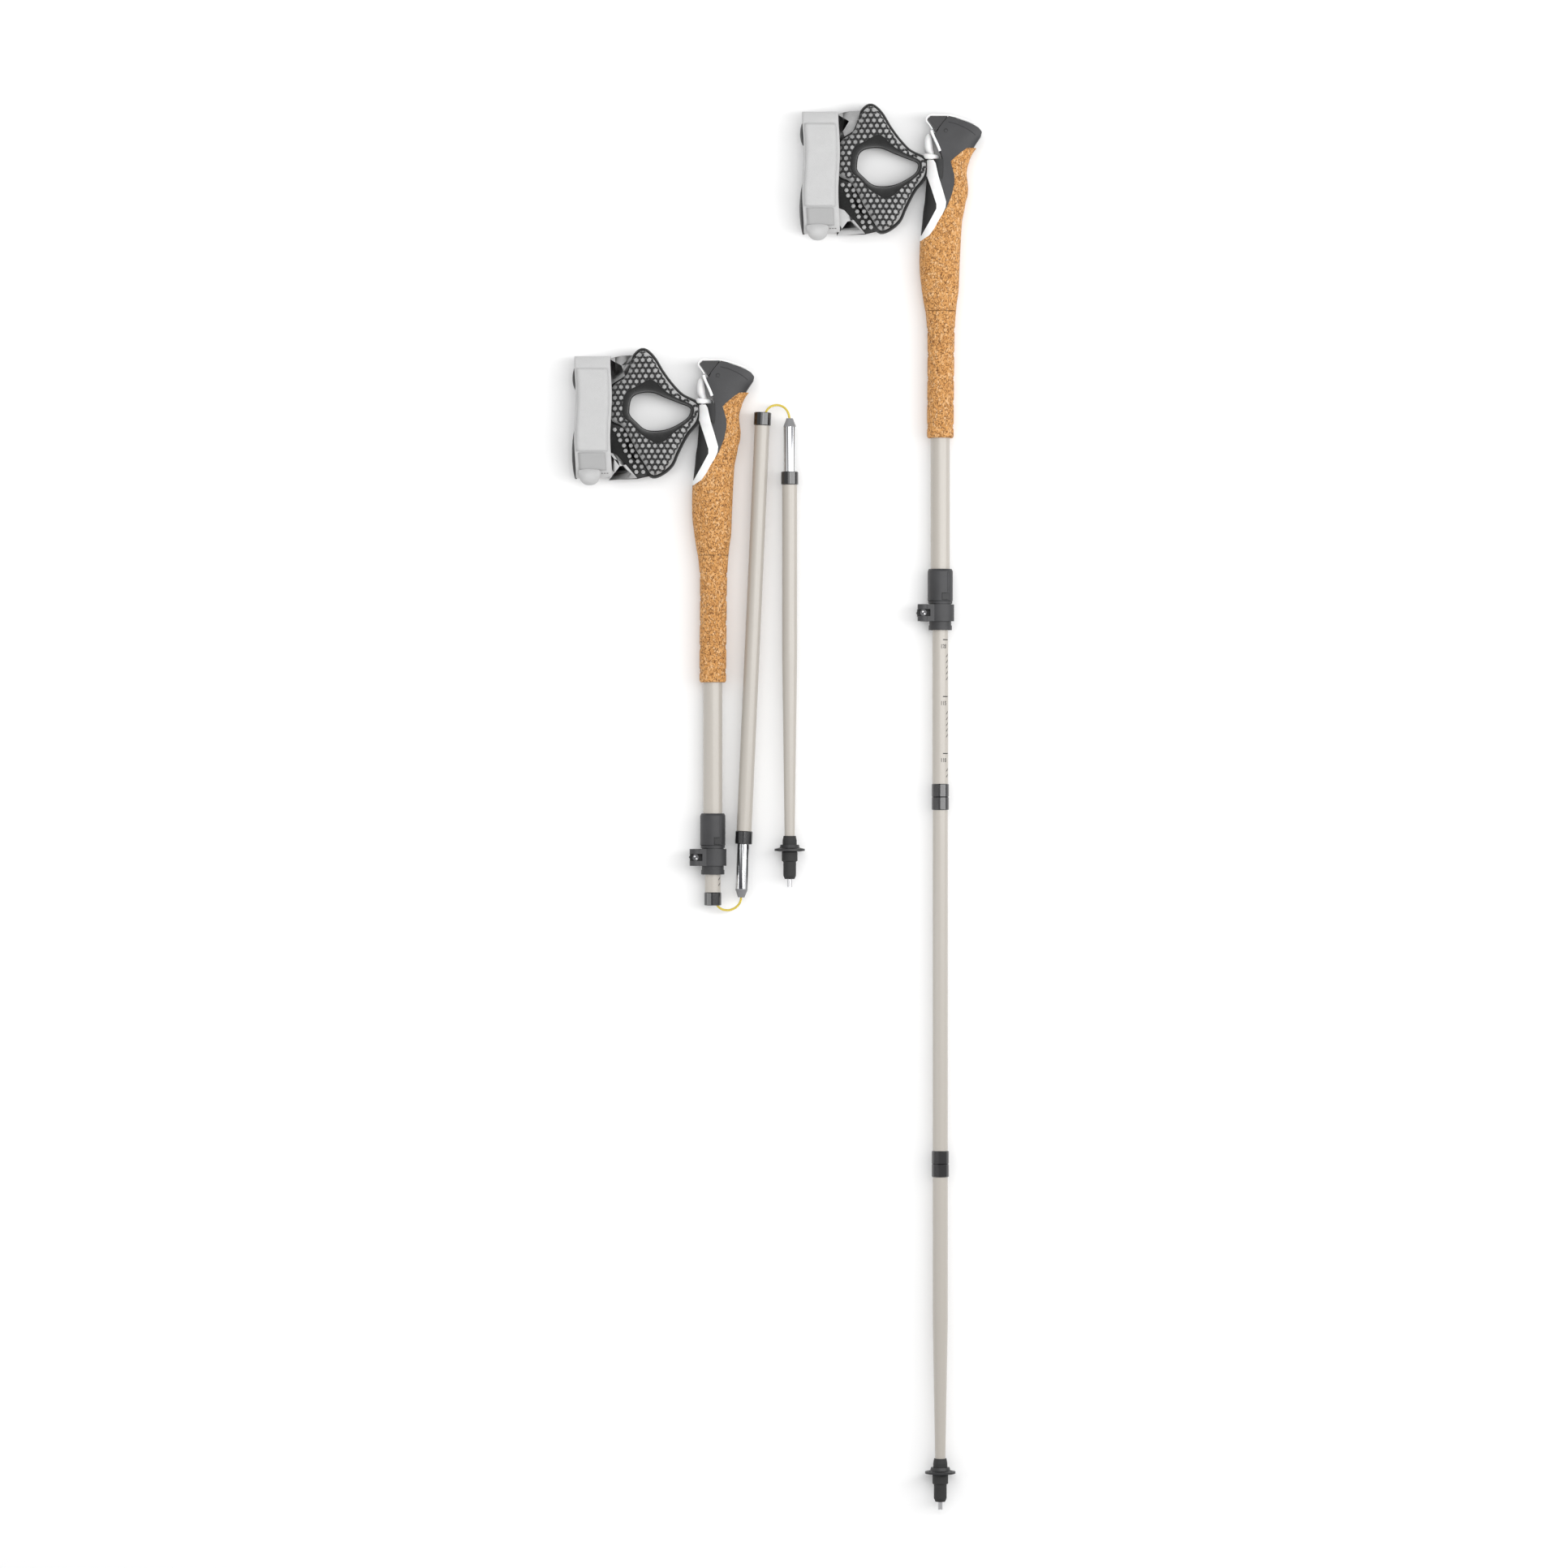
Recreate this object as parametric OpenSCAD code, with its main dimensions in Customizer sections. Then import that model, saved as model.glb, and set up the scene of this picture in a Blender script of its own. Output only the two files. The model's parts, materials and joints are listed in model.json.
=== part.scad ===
// Pair of three-section folding trekking poles with cork grips and strap gloves.
// One pole is assembled, the other is folded up, and both lie flat on the ground:
// +X points right, +Y points to the grips and +Z points up.
// Each section is drawn in its own frame: its axis is Y, its upper end is at y = 0.
// Outlines of the grip are [x, d] pairs, where d is the distance down from the pole's top.

/* [Layout] */
// Distance between the parallel shafts of the two poles
pole_gap = 199; // [190:1:260]
// How much lower the folded pole's top lies
fold_drop = 213.7; // [190:0.1:240]
// Distance from the middle of the pair to the assembled pole's shaft
pole_offset = 142.4; // [135:0.1:160]

/* [Section lengths] */
// Top of the grip to the mouth of the assembled pole's telescoping shaft
upper_reach = 594.9; // [560:0.1:640]
// How far the folded pole's telescoping shaft is pushed in
retraction = 118.8; // [60:0.1:124]
// Telescoping shaft, end to end
inner_l = 296; // [280:1:330]
// Middle section of the assembled pole
mid_l = 321; // [260:1:400]
// Middle section of the folded pole
fold_mid_l = 378; // [360:1:400]
// Lower section of the assembled pole, to its tip
lower_l = 302.5; // [240:0.5:400]
// Lower section of the folded pole, to its tip
fold_lower_l = 363.4; // [290:0.1:400]

/* [Tubes] */
// Outside diameter of the grip's shaft
upper_od = 16.8; // [16:0.1:17.2]
// Wall of the grip's shaft
upper_wall = 1; // [0.8:0.05:1.2]
// Outside diameter of the telescoping shaft
inner_od = 13.8; // [13.2:0.1:14]
// Outside diameter of the middle shaft and of the lower shaft's top
mid_od = 13.2; // [12.6:0.1:14]
// Outside diameter of the lower shaft's end
lower_end_od = 8.6; // [7.6:0.1:9.4]
// Wall of the folding tubes
tube_wall = 1.4; // [1:0.05:1.8]
// Outside diameter of the joint collars
collar_od = 15.2; // [14.8:0.1:17]
// Length of each collar
collar_l = 11.5; // [8:0.1:16]

/* [Plugs and cord] */
// Diameter of the joint plugs
plug_d = 10.6; // [8.4:0.1:10.6]
// Length of a plug that shows when the joint is apart
plug_l = 40; // [30:0.5:48]
// Length of a plug's grey nose
nose_l = 6.5; // [4:0.1:9]
// Tension cord
cord_d = 2; // [1.5:0.1:2.2]

/* [Grip] */
// Thickest part of the grip, across the side view
grip_t = 27; // [26:0.5:33]
// Distance down to the seam between grip and extension
seam_d = 170; // [150:1:190]
// Distance down to the end of the cork
cork_end = 281; // [262:1:300]
// Pivot pin of the trigger
pivot_d = 3.5; // [3:0.1:4]
// Finger that holds the strap loop
horn_d = 7; // [5.6:0.1:7.4]

/* [Lock] */
// Distance down to the top of the lock's sleeve
sleeve_top = 395.6; // [380:0.1:410]
// Length of the sleeve
sleeve_l = 28.3; // [26:0.1:34]
// Outside diameter of the sleeve
sleeve_od = 22; // [21:0.1:24]
// Length of the clamp below the sleeve
clamp_l = 25.1; // [22:0.1:30]
// Width of the lock lever
lever_w = 14.7; // [11:0.1:17]
// Diameter of the tension screw
screw_d = 4; // [3.2:0.1:4.4]
// Diameter of the tension dial
dial_d = 12; // [10:0.1:13]

/* [Tip] */
// Length of the tip holder
holder_l = 37.7; // [36:0.1:44]
// How far the metal tip stands out of its holder
tip_out = 7.1; // [5:0.1:10]
// Land that a rubber pad slips over
pad_seat_d = 11.2; // [10:0.1:12]
// Length of that land
pad_seat_l = 12; // [8:0.1:14]
// Outside diameter of the basket
basket_d = 26.6; // [22:0.1:27]
// Metal tip
tip_d = 4; // [3:0.1:4.6]

/* [Strap] */
// Width of the wrist band
band_w = 30; // [20:1:36]
// Length of the wrist band laid flat
band_l = 109; // [96:1:130]
// Thickness of the glove and band as they lie
glove_t = 32; // [26:1:40]
// Fabric thickness
fabric = 2; // [1.2:0.1:2.6]

/* [Hidden] */
$fn = 48;

// Clearances
gap = 0.4;
running_fit = 0.07;
cord_room = 0.35;

// Heights and places
axis_h = grip_t / 2;
top_y = 604.2;
fold_x = pole_offset - pole_gap;
fold_top_y = top_y - fold_drop;
fold_reach = upper_reach - retraction;
shaft_top = 62;
shaft_end = sleeve_top + sleeve_l - 10;
clamp_top = sleeve_top + sleeve_l;
socket_r = plug_d / 2 + running_fit;
lip = 1.5;
plug_root = 25;
guide_l = 20;
straight_part = 0.45;
cord_anchor = 0.62;
through = 60;
cork_top = 27.7;

// Folded pole: lower section beside the middle one, which leans by fold_lean
fold_lean = 2.55;
fold_lower_at = [10.65, 293.8];
fold_mid_at = [-29.7, -32];

// Grip sections: [d, front x, back x, how much thinner than grip_t]
GRIP = [
    [-2, -22, 46, 5], [14, -22, 42, 4], [28, -18, 31.5, 3], [36, -12.2, 26.5, 2.5],
    [44, -12.2, 24, 2], [52, -12.4, 23.2, 1.6], [63, -13, 24.5, 1], [74, -13.8, 22.6, 0.6],
    [91, -16, 19.2, 0.2], [111, -18.1, 18.1, 0], [136, -18.1, 16.7, 0], [153, -16, 16, 1],
    [170, -13.1, 13.8, 1.8], [180, -11.8, 13, 2.6], [200, -11.2, 12.4, 3.2],
    [270, -11.5, 11.8, 3.6], [282, -11.3, 11.5, 4]
];

// Side-view regions of the grip, as [x, d] outlines
CORK_EDGE = [
    [23.2, 28.2], [18.2, 31.7], [12.4, 36.6], [8.8, 40.1], [10.8, 47.6], [12.1, 55.6],
    [11.3, 62.6], [9.3, 70.5], [5.3, 80.4]
];
BAND_EDGE = [[4.4, 80.4], [4.8, 75.5], [1.7, 64.5], [-1.7, 53.5]];
HOOK_TAIL = [[4.3, 80.4], [-1.7, 91.4], [-9.7, 104.4], [-16.6, 108.8], [-40, 112]];
CORE = [[-11.8, 52.5], [-7.6, 65], [-3.7, 77.5], [-3.7, 81.4], [-10, 93], [-16.6, 104.4],
    [-40, 104.4], [-40, 52.5]];
pivot_at = [4.6, 13.2];
horn_x = -7.8;
loop_d = 36.4;

// ---------- helpers ----------

// Points of a quadratic curve from a to c that is pulled towards b
function curve(a, b, c, n = 6) =
    [for (i = [0:n]) let (t = i / n) a * (1 - t) * (1 - t) + b * 2 * t * (1 - t) + c * t * t];

// Ring of a rounded section: half sizes hu and hv, exponent e
function ring(hu, hv, e, sides) = [
    for (i = [0:sides - 1])
        let (a = 360 * i / sides, c = cos(a), s = sin(a))
            [hu * sign(c) * pow(abs(c), 2 / e), hv * sign(s) * pow(abs(s), 2 / e)]
];

// Closed skin over a list of rings with the same number of points
module skin(rings) {
    sides = len(rings[0]);
    last = len(rings) - 1;
    polyhedron(
        points = [for (r = rings) for (p = r) p],
        faces = concat(
            [[for (i = [0:sides - 1]) i]],
            [for (k = [0:last - 1]) for (i = [0:sides - 1])
                let (j = (i + 1) % sides, a = k * sides, b = a + sides)
                    [a + j, a + i, b + i, b + j]],
            [[for (i = [sides - 1:-1:0]) last * sides + i]]));
}

// Plate of thickness t whose side view is the outline
module plate(outline, t) {
    linear_extrude(t, center = true) polygon([for (p = outline) [p[0], -p[1]]]);
}

// Straight bar, tube and drilled bar along the pole, from d = from to d = to
module rod(r, from, to) {
    translate([0, -from, 0]) rotate([90, 0, 0]) cylinder(h = to - from, r = r);
}

module tube(r, bore, from, to) {
    difference() {
        rod(r, from, to);
        rod(bore, from - 1, to + 1);
    }
}

// Solid of revolution about the pole's axis from [r, d] points
module turned(points) {
    rotate([-90, 0, 0]) rotate_extrude() polygon([for (p = points) [p[0], -p[1]]]);
}

module on_extended(d = 0) {
    translate([pole_offset, top_y - d, axis_h]) children();
}

module on_folded(d = 0) {
    translate([fold_x, fold_top_y - d, axis_h]) children();
}

module on_folded_mid() {
    translate([fold_mid_at[0], fold_mid_at[1], axis_h]) rotate([0, 0, 180 - fold_lean]) children();
}

module on_folded_lower() {
    translate([fold_lower_at[0], fold_lower_at[1], axis_h]) children();
}

// ---------- grip ----------

module grip_blank() {
    skin([for (s = GRIP)
        let (mid = (s[1] + s[2]) / 2, half = (s[2] - s[1]) / 2)
            [for (p = ring(half, (grip_t - s[3]) / 2, 2.3, 28)) [mid + p[0], -s[0], p[1]]]]);
}

// Shaft's hole through the grip, and the solid head above it
module shaft_hole() {
    rod(upper_od / 2, shaft_top, cork_end + 2);
}

module head_region() {
    plate(concat(
        [[7, 0.4]], curve([17.3, 3.3], [25, 5.6], [31, 8.6], 3),
        curve([34.6, 11], [38.4, 14.2], [35, 18.4], 4), [[28.7, 27.7]],
        CORK_EDGE, BAND_EDGE, [[2.3, 52.5], [2.3, 38.6], [0.3, 31.7], [-4.7, 19.7],
        [-5.6, 15.2], [-2.6, 15], [-0.5, 10.6]]), through);
}

module hook_region() {
    difference() {
        plate(concat([[-40, 40], [-4.7, 40.6], [-1.7, 53.5]], [[1.7, 64.5], [4.8, 75.5]],
            HOOK_TAIL), through);
        plate(CORE, through + 1);
    }
}

module cork_grip() {
    color("burlywood") difference() {
        grip_blank();
        translate([0, 150 - cork_top, 0]) cube([200, 300, 80], center = true);
        head_region();
        plate([[29.5, 20], [28.7, 27.7], [23.2, 28.2], [18.2, 31.7], [12.4, 36.6], [8.8, 40.1],
            [-40, 40.1], [-40, 20]], through);
        plate(concat([[-40, 40], [8.8, 40], [8.8, 41], [5, 76], [4.3, 80.4]], HOOK_TAIL), through);
        translate([0, -seam_d - 100, 0]) cube([200, 200, 80], center = true);
        shaft_hole();
    }
}

module cork_extension() {
    color("burlywood") difference() {
        grip_blank();
        translate([0, -seam_d + 200, 0]) cube([200, 400, 80], center = true);
        translate([0, -cork_end - 20, 0]) cube([200, 40, 80], center = true);
        shaft_hole();
    }
}

module grip_head() {
    color("dimgray") difference() {
        intersection() {
            grip_blank();
            head_region();
        }
        trigger_room();
        translate([pivot_at[0], -pivot_at[1], 0]) cylinder(h = through, d = pivot_d, center = true);
        shaft_hole();
    }
}

module grip_core() {
    color("black") difference() {
        intersection() {
            grip_blank();
            plate(CORE, through);
        }
        shaft_hole();
    }
}

module hook_frame() {
    color("white") {
        difference() {
            intersection() {
                grip_blank();
                hook_region();
            }
            shaft_hole();
        }
        translate([horn_x, 0, 0]) rod(horn_d / 2, 28, 44);
        plate(concat(
            curve([-9.7, 14.7], [-13.6, 20], [-13.9, 26.6]), curve([-13.9, 28.4], [-12.4, 30.2],
            [-11, 30.2], 3), [[-4.6, 30.2]], curve([-5, 28], [-6.2, 20], [-8.6, 14.9])), 8);
    }
}

// Slot for the trigger's arm and boss
module trigger_room() {
    translate([pivot_at[0], -pivot_at[1], 0]) cylinder(h = 7.8, r = 4.6, center = true);
    plate([[9.2, -1], [9.2, 13.2], [0, 15.4], [-5, 15.4], [-5, -1]], 7.8);
}

module trigger() {
    color("black") difference() {
        union() {
            plate([[-11.5, 2.8], [-8.7, 0.2], [6.2, 0.2], [-1.2, 9.6], [-3.7, 13.5]], 19);
            plate([[-8, 1], [6.2, 0.2], [8.4, 12], [4.6, 13.2], [0.8, 12.4], [-3.7, 11]], 7);
            translate([pivot_at[0], -pivot_at[1], 0]) cylinder(h = 7, r = 4, center = true);
        }
        translate([pivot_at[0], -pivot_at[1], 0])
            cylinder(h = 30, r = pivot_d / 2 + running_fit, center = true);
    }
}

// Pin the trigger turns on
module trigger_pivot() {
    color("silver") translate([pivot_at[0], -pivot_at[1], 0])
        cylinder(h = 20.5, d = pivot_d, center = true);
}

// ---------- upper shaft and lock ----------

module upper_shaft() {
    color("silver") tube(upper_od / 2, upper_od / 2 - upper_wall, shaft_top, shaft_end);
}

button_at = [4.5, sleeve_top + sleeve_l - 4.2];
button_size = [5.9, 5.5];
button_travel = 1.5;
button_floor = sleeve_od / 2 - 3.2;

module lock_sleeve() {
    color("dimgray") difference() {
        turned([[upper_od / 2, sleeve_top], [sleeve_od / 2 - 1, sleeve_top],
            [sleeve_od / 2, sleeve_top + 2], [sleeve_od / 2, clamp_top - 0.6],
            [sleeve_od / 2 - 0.6, clamp_top], [inner_od / 2 + running_fit, clamp_top],
            [inner_od / 2 + running_fit, shaft_end], [upper_od / 2, shaft_end]]);
        translate([button_at[0], -button_at[1], button_floor + 5])
            cube([button_size[0] + 2 * gap, button_size[1] + 2 * gap, 10], center = true);
    }
}

module release_button() {
    bottom = button_floor + button_travel + 0.15;
    color("black") translate([button_at[0], -button_at[1], (bottom + sleeve_od / 2) / 2])
        cube([button_size[0], button_size[1], sleeve_od / 2 - bottom], center = true);
}

bolt_at = [-14.9, clamp_top + 10.1];
clamp_r = 9.6;
ear_t = 3.4;
ear_top = 4.5;
lever_pivot_z = 10;
boss_r = 5.2;
barrel_d = 3.2;

module clamp_ring() {
    color("dimgray") difference() {
        union() {
            rod(clamp_r, clamp_top, clamp_top + clamp_l);
            rod(sleeve_od / 2 - 0.4, clamp_top, clamp_top + 2);
            rod(sleeve_od / 2 - 0.8, clamp_top + clamp_l - 4, clamp_top + clamp_l);
            translate([bolt_at[0] + 4.4, -bolt_at[1], 0])
                cube([14, lever_w, 2 * ear_top], center = true);
        }
        rod(inner_od / 2 + running_fit, clamp_top - 1, clamp_top + clamp_l + 1);
        translate([-15, -clamp_top - clamp_l / 2, 0])
            cube([30, clamp_l + 2, 2 * (ear_top - ear_t)], center = true);
        translate([bolt_at[0], -bolt_at[1], 0]) cylinder(h = 40, d = screw_d, center = true);
    }
}

// Slice of the lever: an outline in x and z, as wide as the lever
module lever_slice() {
    rotate([90, 0, 0]) linear_extrude(lever_w, center = true) children();
}

module lock_lever() {
    inner_r = clamp_r + 0.8;
    outer_r = inner_r + 2.3;
    color("dimgray") translate([0, -bolt_at[1], 0]) difference() {
        union() {
            lever_slice() intersection() {
                circle(r = outer_r);
                polygon([[0, 0], [30, 10.5], [30, 40], [-30, 40], [-20, 13]]);
            }
            lever_slice() translate([bolt_at[0], lever_pivot_z]) circle(r = boss_r);
            lever_slice() polygon([[bolt_at[0], lever_pivot_z + boss_r], [-5.4, outer_r - 1.2],
                [-5.4, inner_r - 1], [bolt_at[0], lever_pivot_z - 2]]);
        }
        rotate([90, 0, 0]) cylinder(h = 40, r = inner_r, center = true);
        translate([bolt_at[0], 0, lever_pivot_z]) rotate([90, 0, 0])
            cylinder(h = 40, r = barrel_d / 2 + running_fit, center = true);
        translate([bolt_at[0] - 1, 0, lever_pivot_z])
            cube([14, screw_d + 2.2, 4 * boss_r], center = true);
    }
}

// Tension screw with its barrel nut across the lever's fork
module lever_bolt() {
    dial_bottom = -ear_top - 5;
    color("silver") translate([bolt_at[0], -bolt_at[1], 0]) {
        translate([0, 0, dial_bottom]) cylinder(h = lever_pivot_z + 3 - dial_bottom, d = screw_d);
        translate([0, 0, lever_pivot_z + 1.8]) cylinder(h = 1.4, d = screw_d + 1.4);
        translate([0, 0, lever_pivot_z]) rotate([90, 0, 0])
            cylinder(h = lever_w - 0.8, d = barrel_d, center = true);
    }
}

module tension_dial() {
    color("black") translate([bolt_at[0], -bolt_at[1], -ear_top - 4.6]) difference() {
        union() {
            cylinder(h = 4.2, r = dial_d / 2 - 0.5);
            for (a = [0:30:330]) rotate([0, 0, a])
                translate([dial_d / 2 - 0.9, 0, 0.3]) cylinder(h = 3.6, r = 0.9, $fn = 16);
        }
        translate([0, 0, -1]) cylinder(h = 7, r = screw_d / 2 + running_fit);
    }
}

// ---------- telescoping shaft ----------
// Drawn with the mouth at y = 0

module inner_shaft() {
    color("silver") tube(inner_od / 2, socket_r, -inner_l, -lip);
}

module guide_bush() {
    color("black") tube(upper_od / 2 - upper_wall - running_fit, inner_od / 2,
        -inner_l, guide_l - inner_l);
}

// Collar over a tube's end, with a lip that covers the end face
module collar(od, flip = false) {
    color("black") mirror([0, flip ? 1 : 0, 0]) turned([[od / 2, -collar_l],
        [collar_od / 2 - 0.6, -collar_l], [collar_od / 2, -collar_l + 0.6],
        [collar_od / 2, -0.5], [collar_od / 2 - 0.5, 0], [socket_r, 0], [socket_r, -lip],
        [od / 2, -lip]]);
}

module socket_collar() {
    collar(inner_od);
}

// ---------- middle and lower sections ----------

module mid_shaft(length) {
    color("silver") tube(mid_od / 2, socket_r, lip, length - lip);
}

module mid_collars(length) {
    collar(mid_od, true);
    translate([0, -length, 0]) collar(mid_od);
}

// Plug pressed into a tube's top, drilled for the cord
module plug(seat_r) {
    color("silver") turned([[cord_d / 2 + cord_room, -plug_l - nose_l],
        [plug_d / 4, -plug_l - nose_l], [plug_d / 2 - 0.6, -plug_l - 0.4],
        [plug_d / 2, -plug_l + 0.4], [plug_d / 2, lip], [seat_r, lip],
        [seat_r, plug_root], [cord_d / 2 + cord_room, plug_root]]);
}

module lower_shaft(length) {
    end_d = length - tip_out - holder_l + 14;
    straight = length * straight_part;
    color("silver") turned([[socket_r, lip], [mid_od / 2, lip], [mid_od / 2, straight],
        [lower_end_od / 2, end_d], [lower_end_od / 2 - tube_wall, end_d],
        [mid_od / 2 - tube_wall, straight], [socket_r, straight - 20]]);
}

module lower_collar() {
    collar(mid_od, true);
}

module tip_holder(length) {
    top = length - tip_out - holder_l;
    end = length - tip_out;
    seat_top = end - 3 - pad_seat_l;
    basket_top = seat_top - 15;
    shaft_stop = top + 14;
    slope = (mid_od - lower_end_od) / 2 / (shaft_stop - length * straight_part);
    top_r = lower_end_od / 2 + slope * (shaft_stop - top);
    color("black") turned([[top_r, top], [top_r + 0.9, top], [6.2, top + 4],
        [6.2, basket_top + 6], [6.9, basket_top + 6.5], [6.9, seat_top - 1],
        [pad_seat_d / 2, seat_top], [pad_seat_d / 2, seat_top + pad_seat_l], [4.3, end],
        [tip_d / 2, end], [tip_d / 2, end - 12], [lower_end_od / 2, end - 14],
        [lower_end_od / 2, shaft_stop]]);
}

// Small basket pushed on the holder against its shoulder
module basket(length) {
    seat_top = length - tip_out - 3 - pad_seat_l;
    basket_top = seat_top - 15;
    color("black") difference() {
        turned([[6.2, basket_top], [8.2, basket_top], [8.8, basket_top + 2.6],
            [basket_d / 2, basket_top + 3.6], [basket_d / 2, basket_top + 5.4],
            [8.8, basket_top + 6], [6.2, basket_top + 6]]);
        for (a = [30:60:330]) rotate([0, a, 0]) translate([10.6, 0, 0])
            rod(1.2, basket_top, basket_top + 8);
    }
}

module carbide_tip(length) {
    end = length - tip_out;
    color("gray") difference() {
        rod(tip_d / 2, end - 12, length - 0.2);
        translate([0, -length, 0]) for (a = [0, 90]) rotate([0, a, 0])
            rotate([0, 0, 45]) cube([1.1, 1.1, 10], center = true);
    }
}

// ---------- strap ----------
// Glove sections: [x, d of upper edge, d of lower edge, how much thinner than glove_t]
GLOVE = [
    [-90, 20, 54, 6], [-77, 11, 62, 3], [-67, -5, 80, 1], [-60, -9.4, 94, 0], [-50, 0, 100.6, 0],
    [-43, 11, 98, 1], [-36, 21, 91, 2.5], [-27, 30, 71, 6], [-20, 33.5, 60, 12],
    [-16.6, 36, 52, 18]
];

function glove_mid(t) = max(axis_h, t / 2 + 0.5) - axis_h;

module glove_skin(inset) {
    open_from = -57;
    skin([for (s = GLOVE)
        let (
            wide = inset > 0 && s[0] > open_from ? 30 : -inset,
            t = glove_t - s[3],
            mid = (s[1] + s[2]) / 2,
            half = (s[2] - s[1]) / 2 + wide,
            x = inset > 0 && s[0] < -89 ? s[0] - 1 : s[0])
                [for (p = ring(half, t / 2 - inset, 4, 28))
                    [x, p[0] - mid, glove_mid(t) + p[1]]]]);
}

module strap_glove() {
    color("darkslategray") {
        difference() {
            glove_skin(0);
            intersection() {
                glove_skin(fabric);
                translate([-121, 0, 0]) cube([200, 400, 80], center = true);
            }
            translate([-46.5, -44.5, 0]) thumb_hole();
        }
        translate([-15.2, -loop_d - 3, 0]) cube([5, 7, 5], center = true);
        translate([horn_x, 0, 0]) difference() {
            rod(7, loop_d - 2.5, loop_d + 2.5);
            rod(5.2, loop_d - 4, loop_d + 4);
        }
    }
}

// Slot with round ends for the thumb, through both layers
module thumb_hole() {
    for (x = [-11.5, 11.5]) translate([x, 0, 0]) cylinder(h = 100, r = 15.5, center = true);
    cube([23, 31, 100], center = true);
}

module wrist_band() {
    right = GLOVE[0][0];
    mid_d = 49.5;
    color("lightgray") translate([right - band_w / 2, -mid_d, glove_mid(glove_t - 2)])
        rotate([90, 0, 90]) linear_extrude(band_w, center = true) difference() {
            flat_oval(band_l, glove_t - 2);
            flat_oval(band_l - 2 * fabric, glove_t - 2 - 2 * fabric);
        }
}

module flat_oval(length, width) {
    square([length - width, width], center = true);
    for (side = [-1, 1]) translate([side * (length - width) / 2, 0]) circle(d = width);
}

// ---------- cords ----------

// Cord inside the assembled pole, from the telescoping shaft's top to the tip
module tension_cord() {
    color("khaki") rod(cord_d / 2, upper_reach - inner_l + 5,
        upper_reach + mid_l + lower_l * cord_anchor);
}

// Route of the cord at the lower knee, out of the mouth and into the middle plug's nose
KNEE_LOWER = [
    [-54.6, -75, 13.5], [-54.4, -79, 13.4], [-53.7, -83, 13], [-52, -86.5, 12.2],
    [-49, -88.9, 11.2], [-45.2, -89.9, 10.4], [-41.2, -89.6, 10.2], [-37.4, -88, 10.6],
    [-34.2, -85.2, 11.6], [-32.4, -81.8, 12.8], [-31.8, -78.8, 13.4], [-31.6, -75.8, 13.5]
];
// Route of the cord at the upper knee, out of the middle mouth into the lower plug's nose
KNEE_UPPER = [
    [-12, 335, 13.5], [-11.6, 339, 13.4], [-11, 343, 13.1], [-9.6, 347, 12.4],
    [-6.9, 350.2, 11.4], [-3.2, 351.9, 10.6], [0.9, 351.9, 10.2], [4.8, 350.2, 10.5],
    [8, 347.2, 11.5], [9.9, 343.8, 12.7], [10.6, 340.2, 13.4], [10.65, 337, 13.5]
];

function unit(v) = v / norm(v);

module cord(route) {
    n = len(route) - 1;
    skin([for (i = [0:n])
        let (
            along = unit(route[min(i + 1, n)] - route[max(i - 1, 0)]),
            side = unit(cross(along, [0, 0, 1])),
            up = cross(along, side))
                [for (k = [0:7]) let (a = 45 * k)
                    route[i] + cord_d / 2 * (cos(a) * side + sin(a) * up)]]);
}

// ---------- assembled pole ----------

on_extended() cork_grip();  // extended_cork_grip
on_extended() cork_extension();  // extended_cork_extension
on_extended() grip_head();  // extended_grip_head
on_extended() grip_core();  // extended_grip_core
on_extended() hook_frame();  // extended_hook_frame
on_extended() trigger();  // extended_trigger
on_extended() trigger_pivot();  // extended_trigger_pivot
on_extended() upper_shaft();  // extended_upper_shaft
on_extended() lock_sleeve();  // extended_lock_sleeve
on_extended() release_button();  // extended_release_button
on_extended() clamp_ring();  // extended_clamp_ring
on_extended() lock_lever();  // extended_lock_lever
on_extended() lever_bolt();  // extended_lever_bolt
on_extended() tension_dial();  // extended_tension_dial
on_extended(upper_reach) inner_shaft();  // extended_inner_shaft
on_extended(upper_reach) guide_bush();  // extended_guide_bush
on_extended(upper_reach) socket_collar();  // extended_socket_collar
on_extended(upper_reach) mid_shaft(mid_l);  // extended_mid_shaft
on_extended(upper_reach) mid_collars(mid_l);  // extended_mid_collars
on_extended(upper_reach) plug(socket_r);  // extended_mid_plug
on_extended(upper_reach + mid_l) lower_shaft(lower_l);  // extended_lower_shaft
on_extended(upper_reach + mid_l) lower_collar();  // extended_lower_collar
on_extended(upper_reach + mid_l) plug(socket_r);  // extended_lower_plug
on_extended(upper_reach + mid_l) tip_holder(lower_l);  // extended_tip_holder
on_extended(upper_reach + mid_l) basket(lower_l);  // extended_basket
on_extended(upper_reach + mid_l) carbide_tip(lower_l);  // extended_carbide_tip
on_extended() strap_glove();  // extended_strap_glove
on_extended() wrist_band();  // extended_wrist_band
on_extended() tension_cord();  // extended_tension_cord

// ---------- folded pole ----------

on_folded() cork_grip();  // folded_cork_grip
on_folded() cork_extension();  // folded_cork_extension
on_folded() grip_head();  // folded_grip_head
on_folded() grip_core();  // folded_grip_core
on_folded() hook_frame();  // folded_hook_frame
on_folded() trigger();  // folded_trigger
on_folded() trigger_pivot();  // folded_trigger_pivot
on_folded() upper_shaft();  // folded_upper_shaft
on_folded() lock_sleeve();  // folded_lock_sleeve
on_folded() release_button();  // folded_release_button
on_folded() clamp_ring();  // folded_clamp_ring
on_folded() lock_lever();  // folded_lock_lever
on_folded() lever_bolt();  // folded_lever_bolt
on_folded() tension_dial();  // folded_tension_dial
on_folded(fold_reach) inner_shaft();  // folded_inner_shaft
on_folded(fold_reach) guide_bush();  // folded_guide_bush
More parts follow.
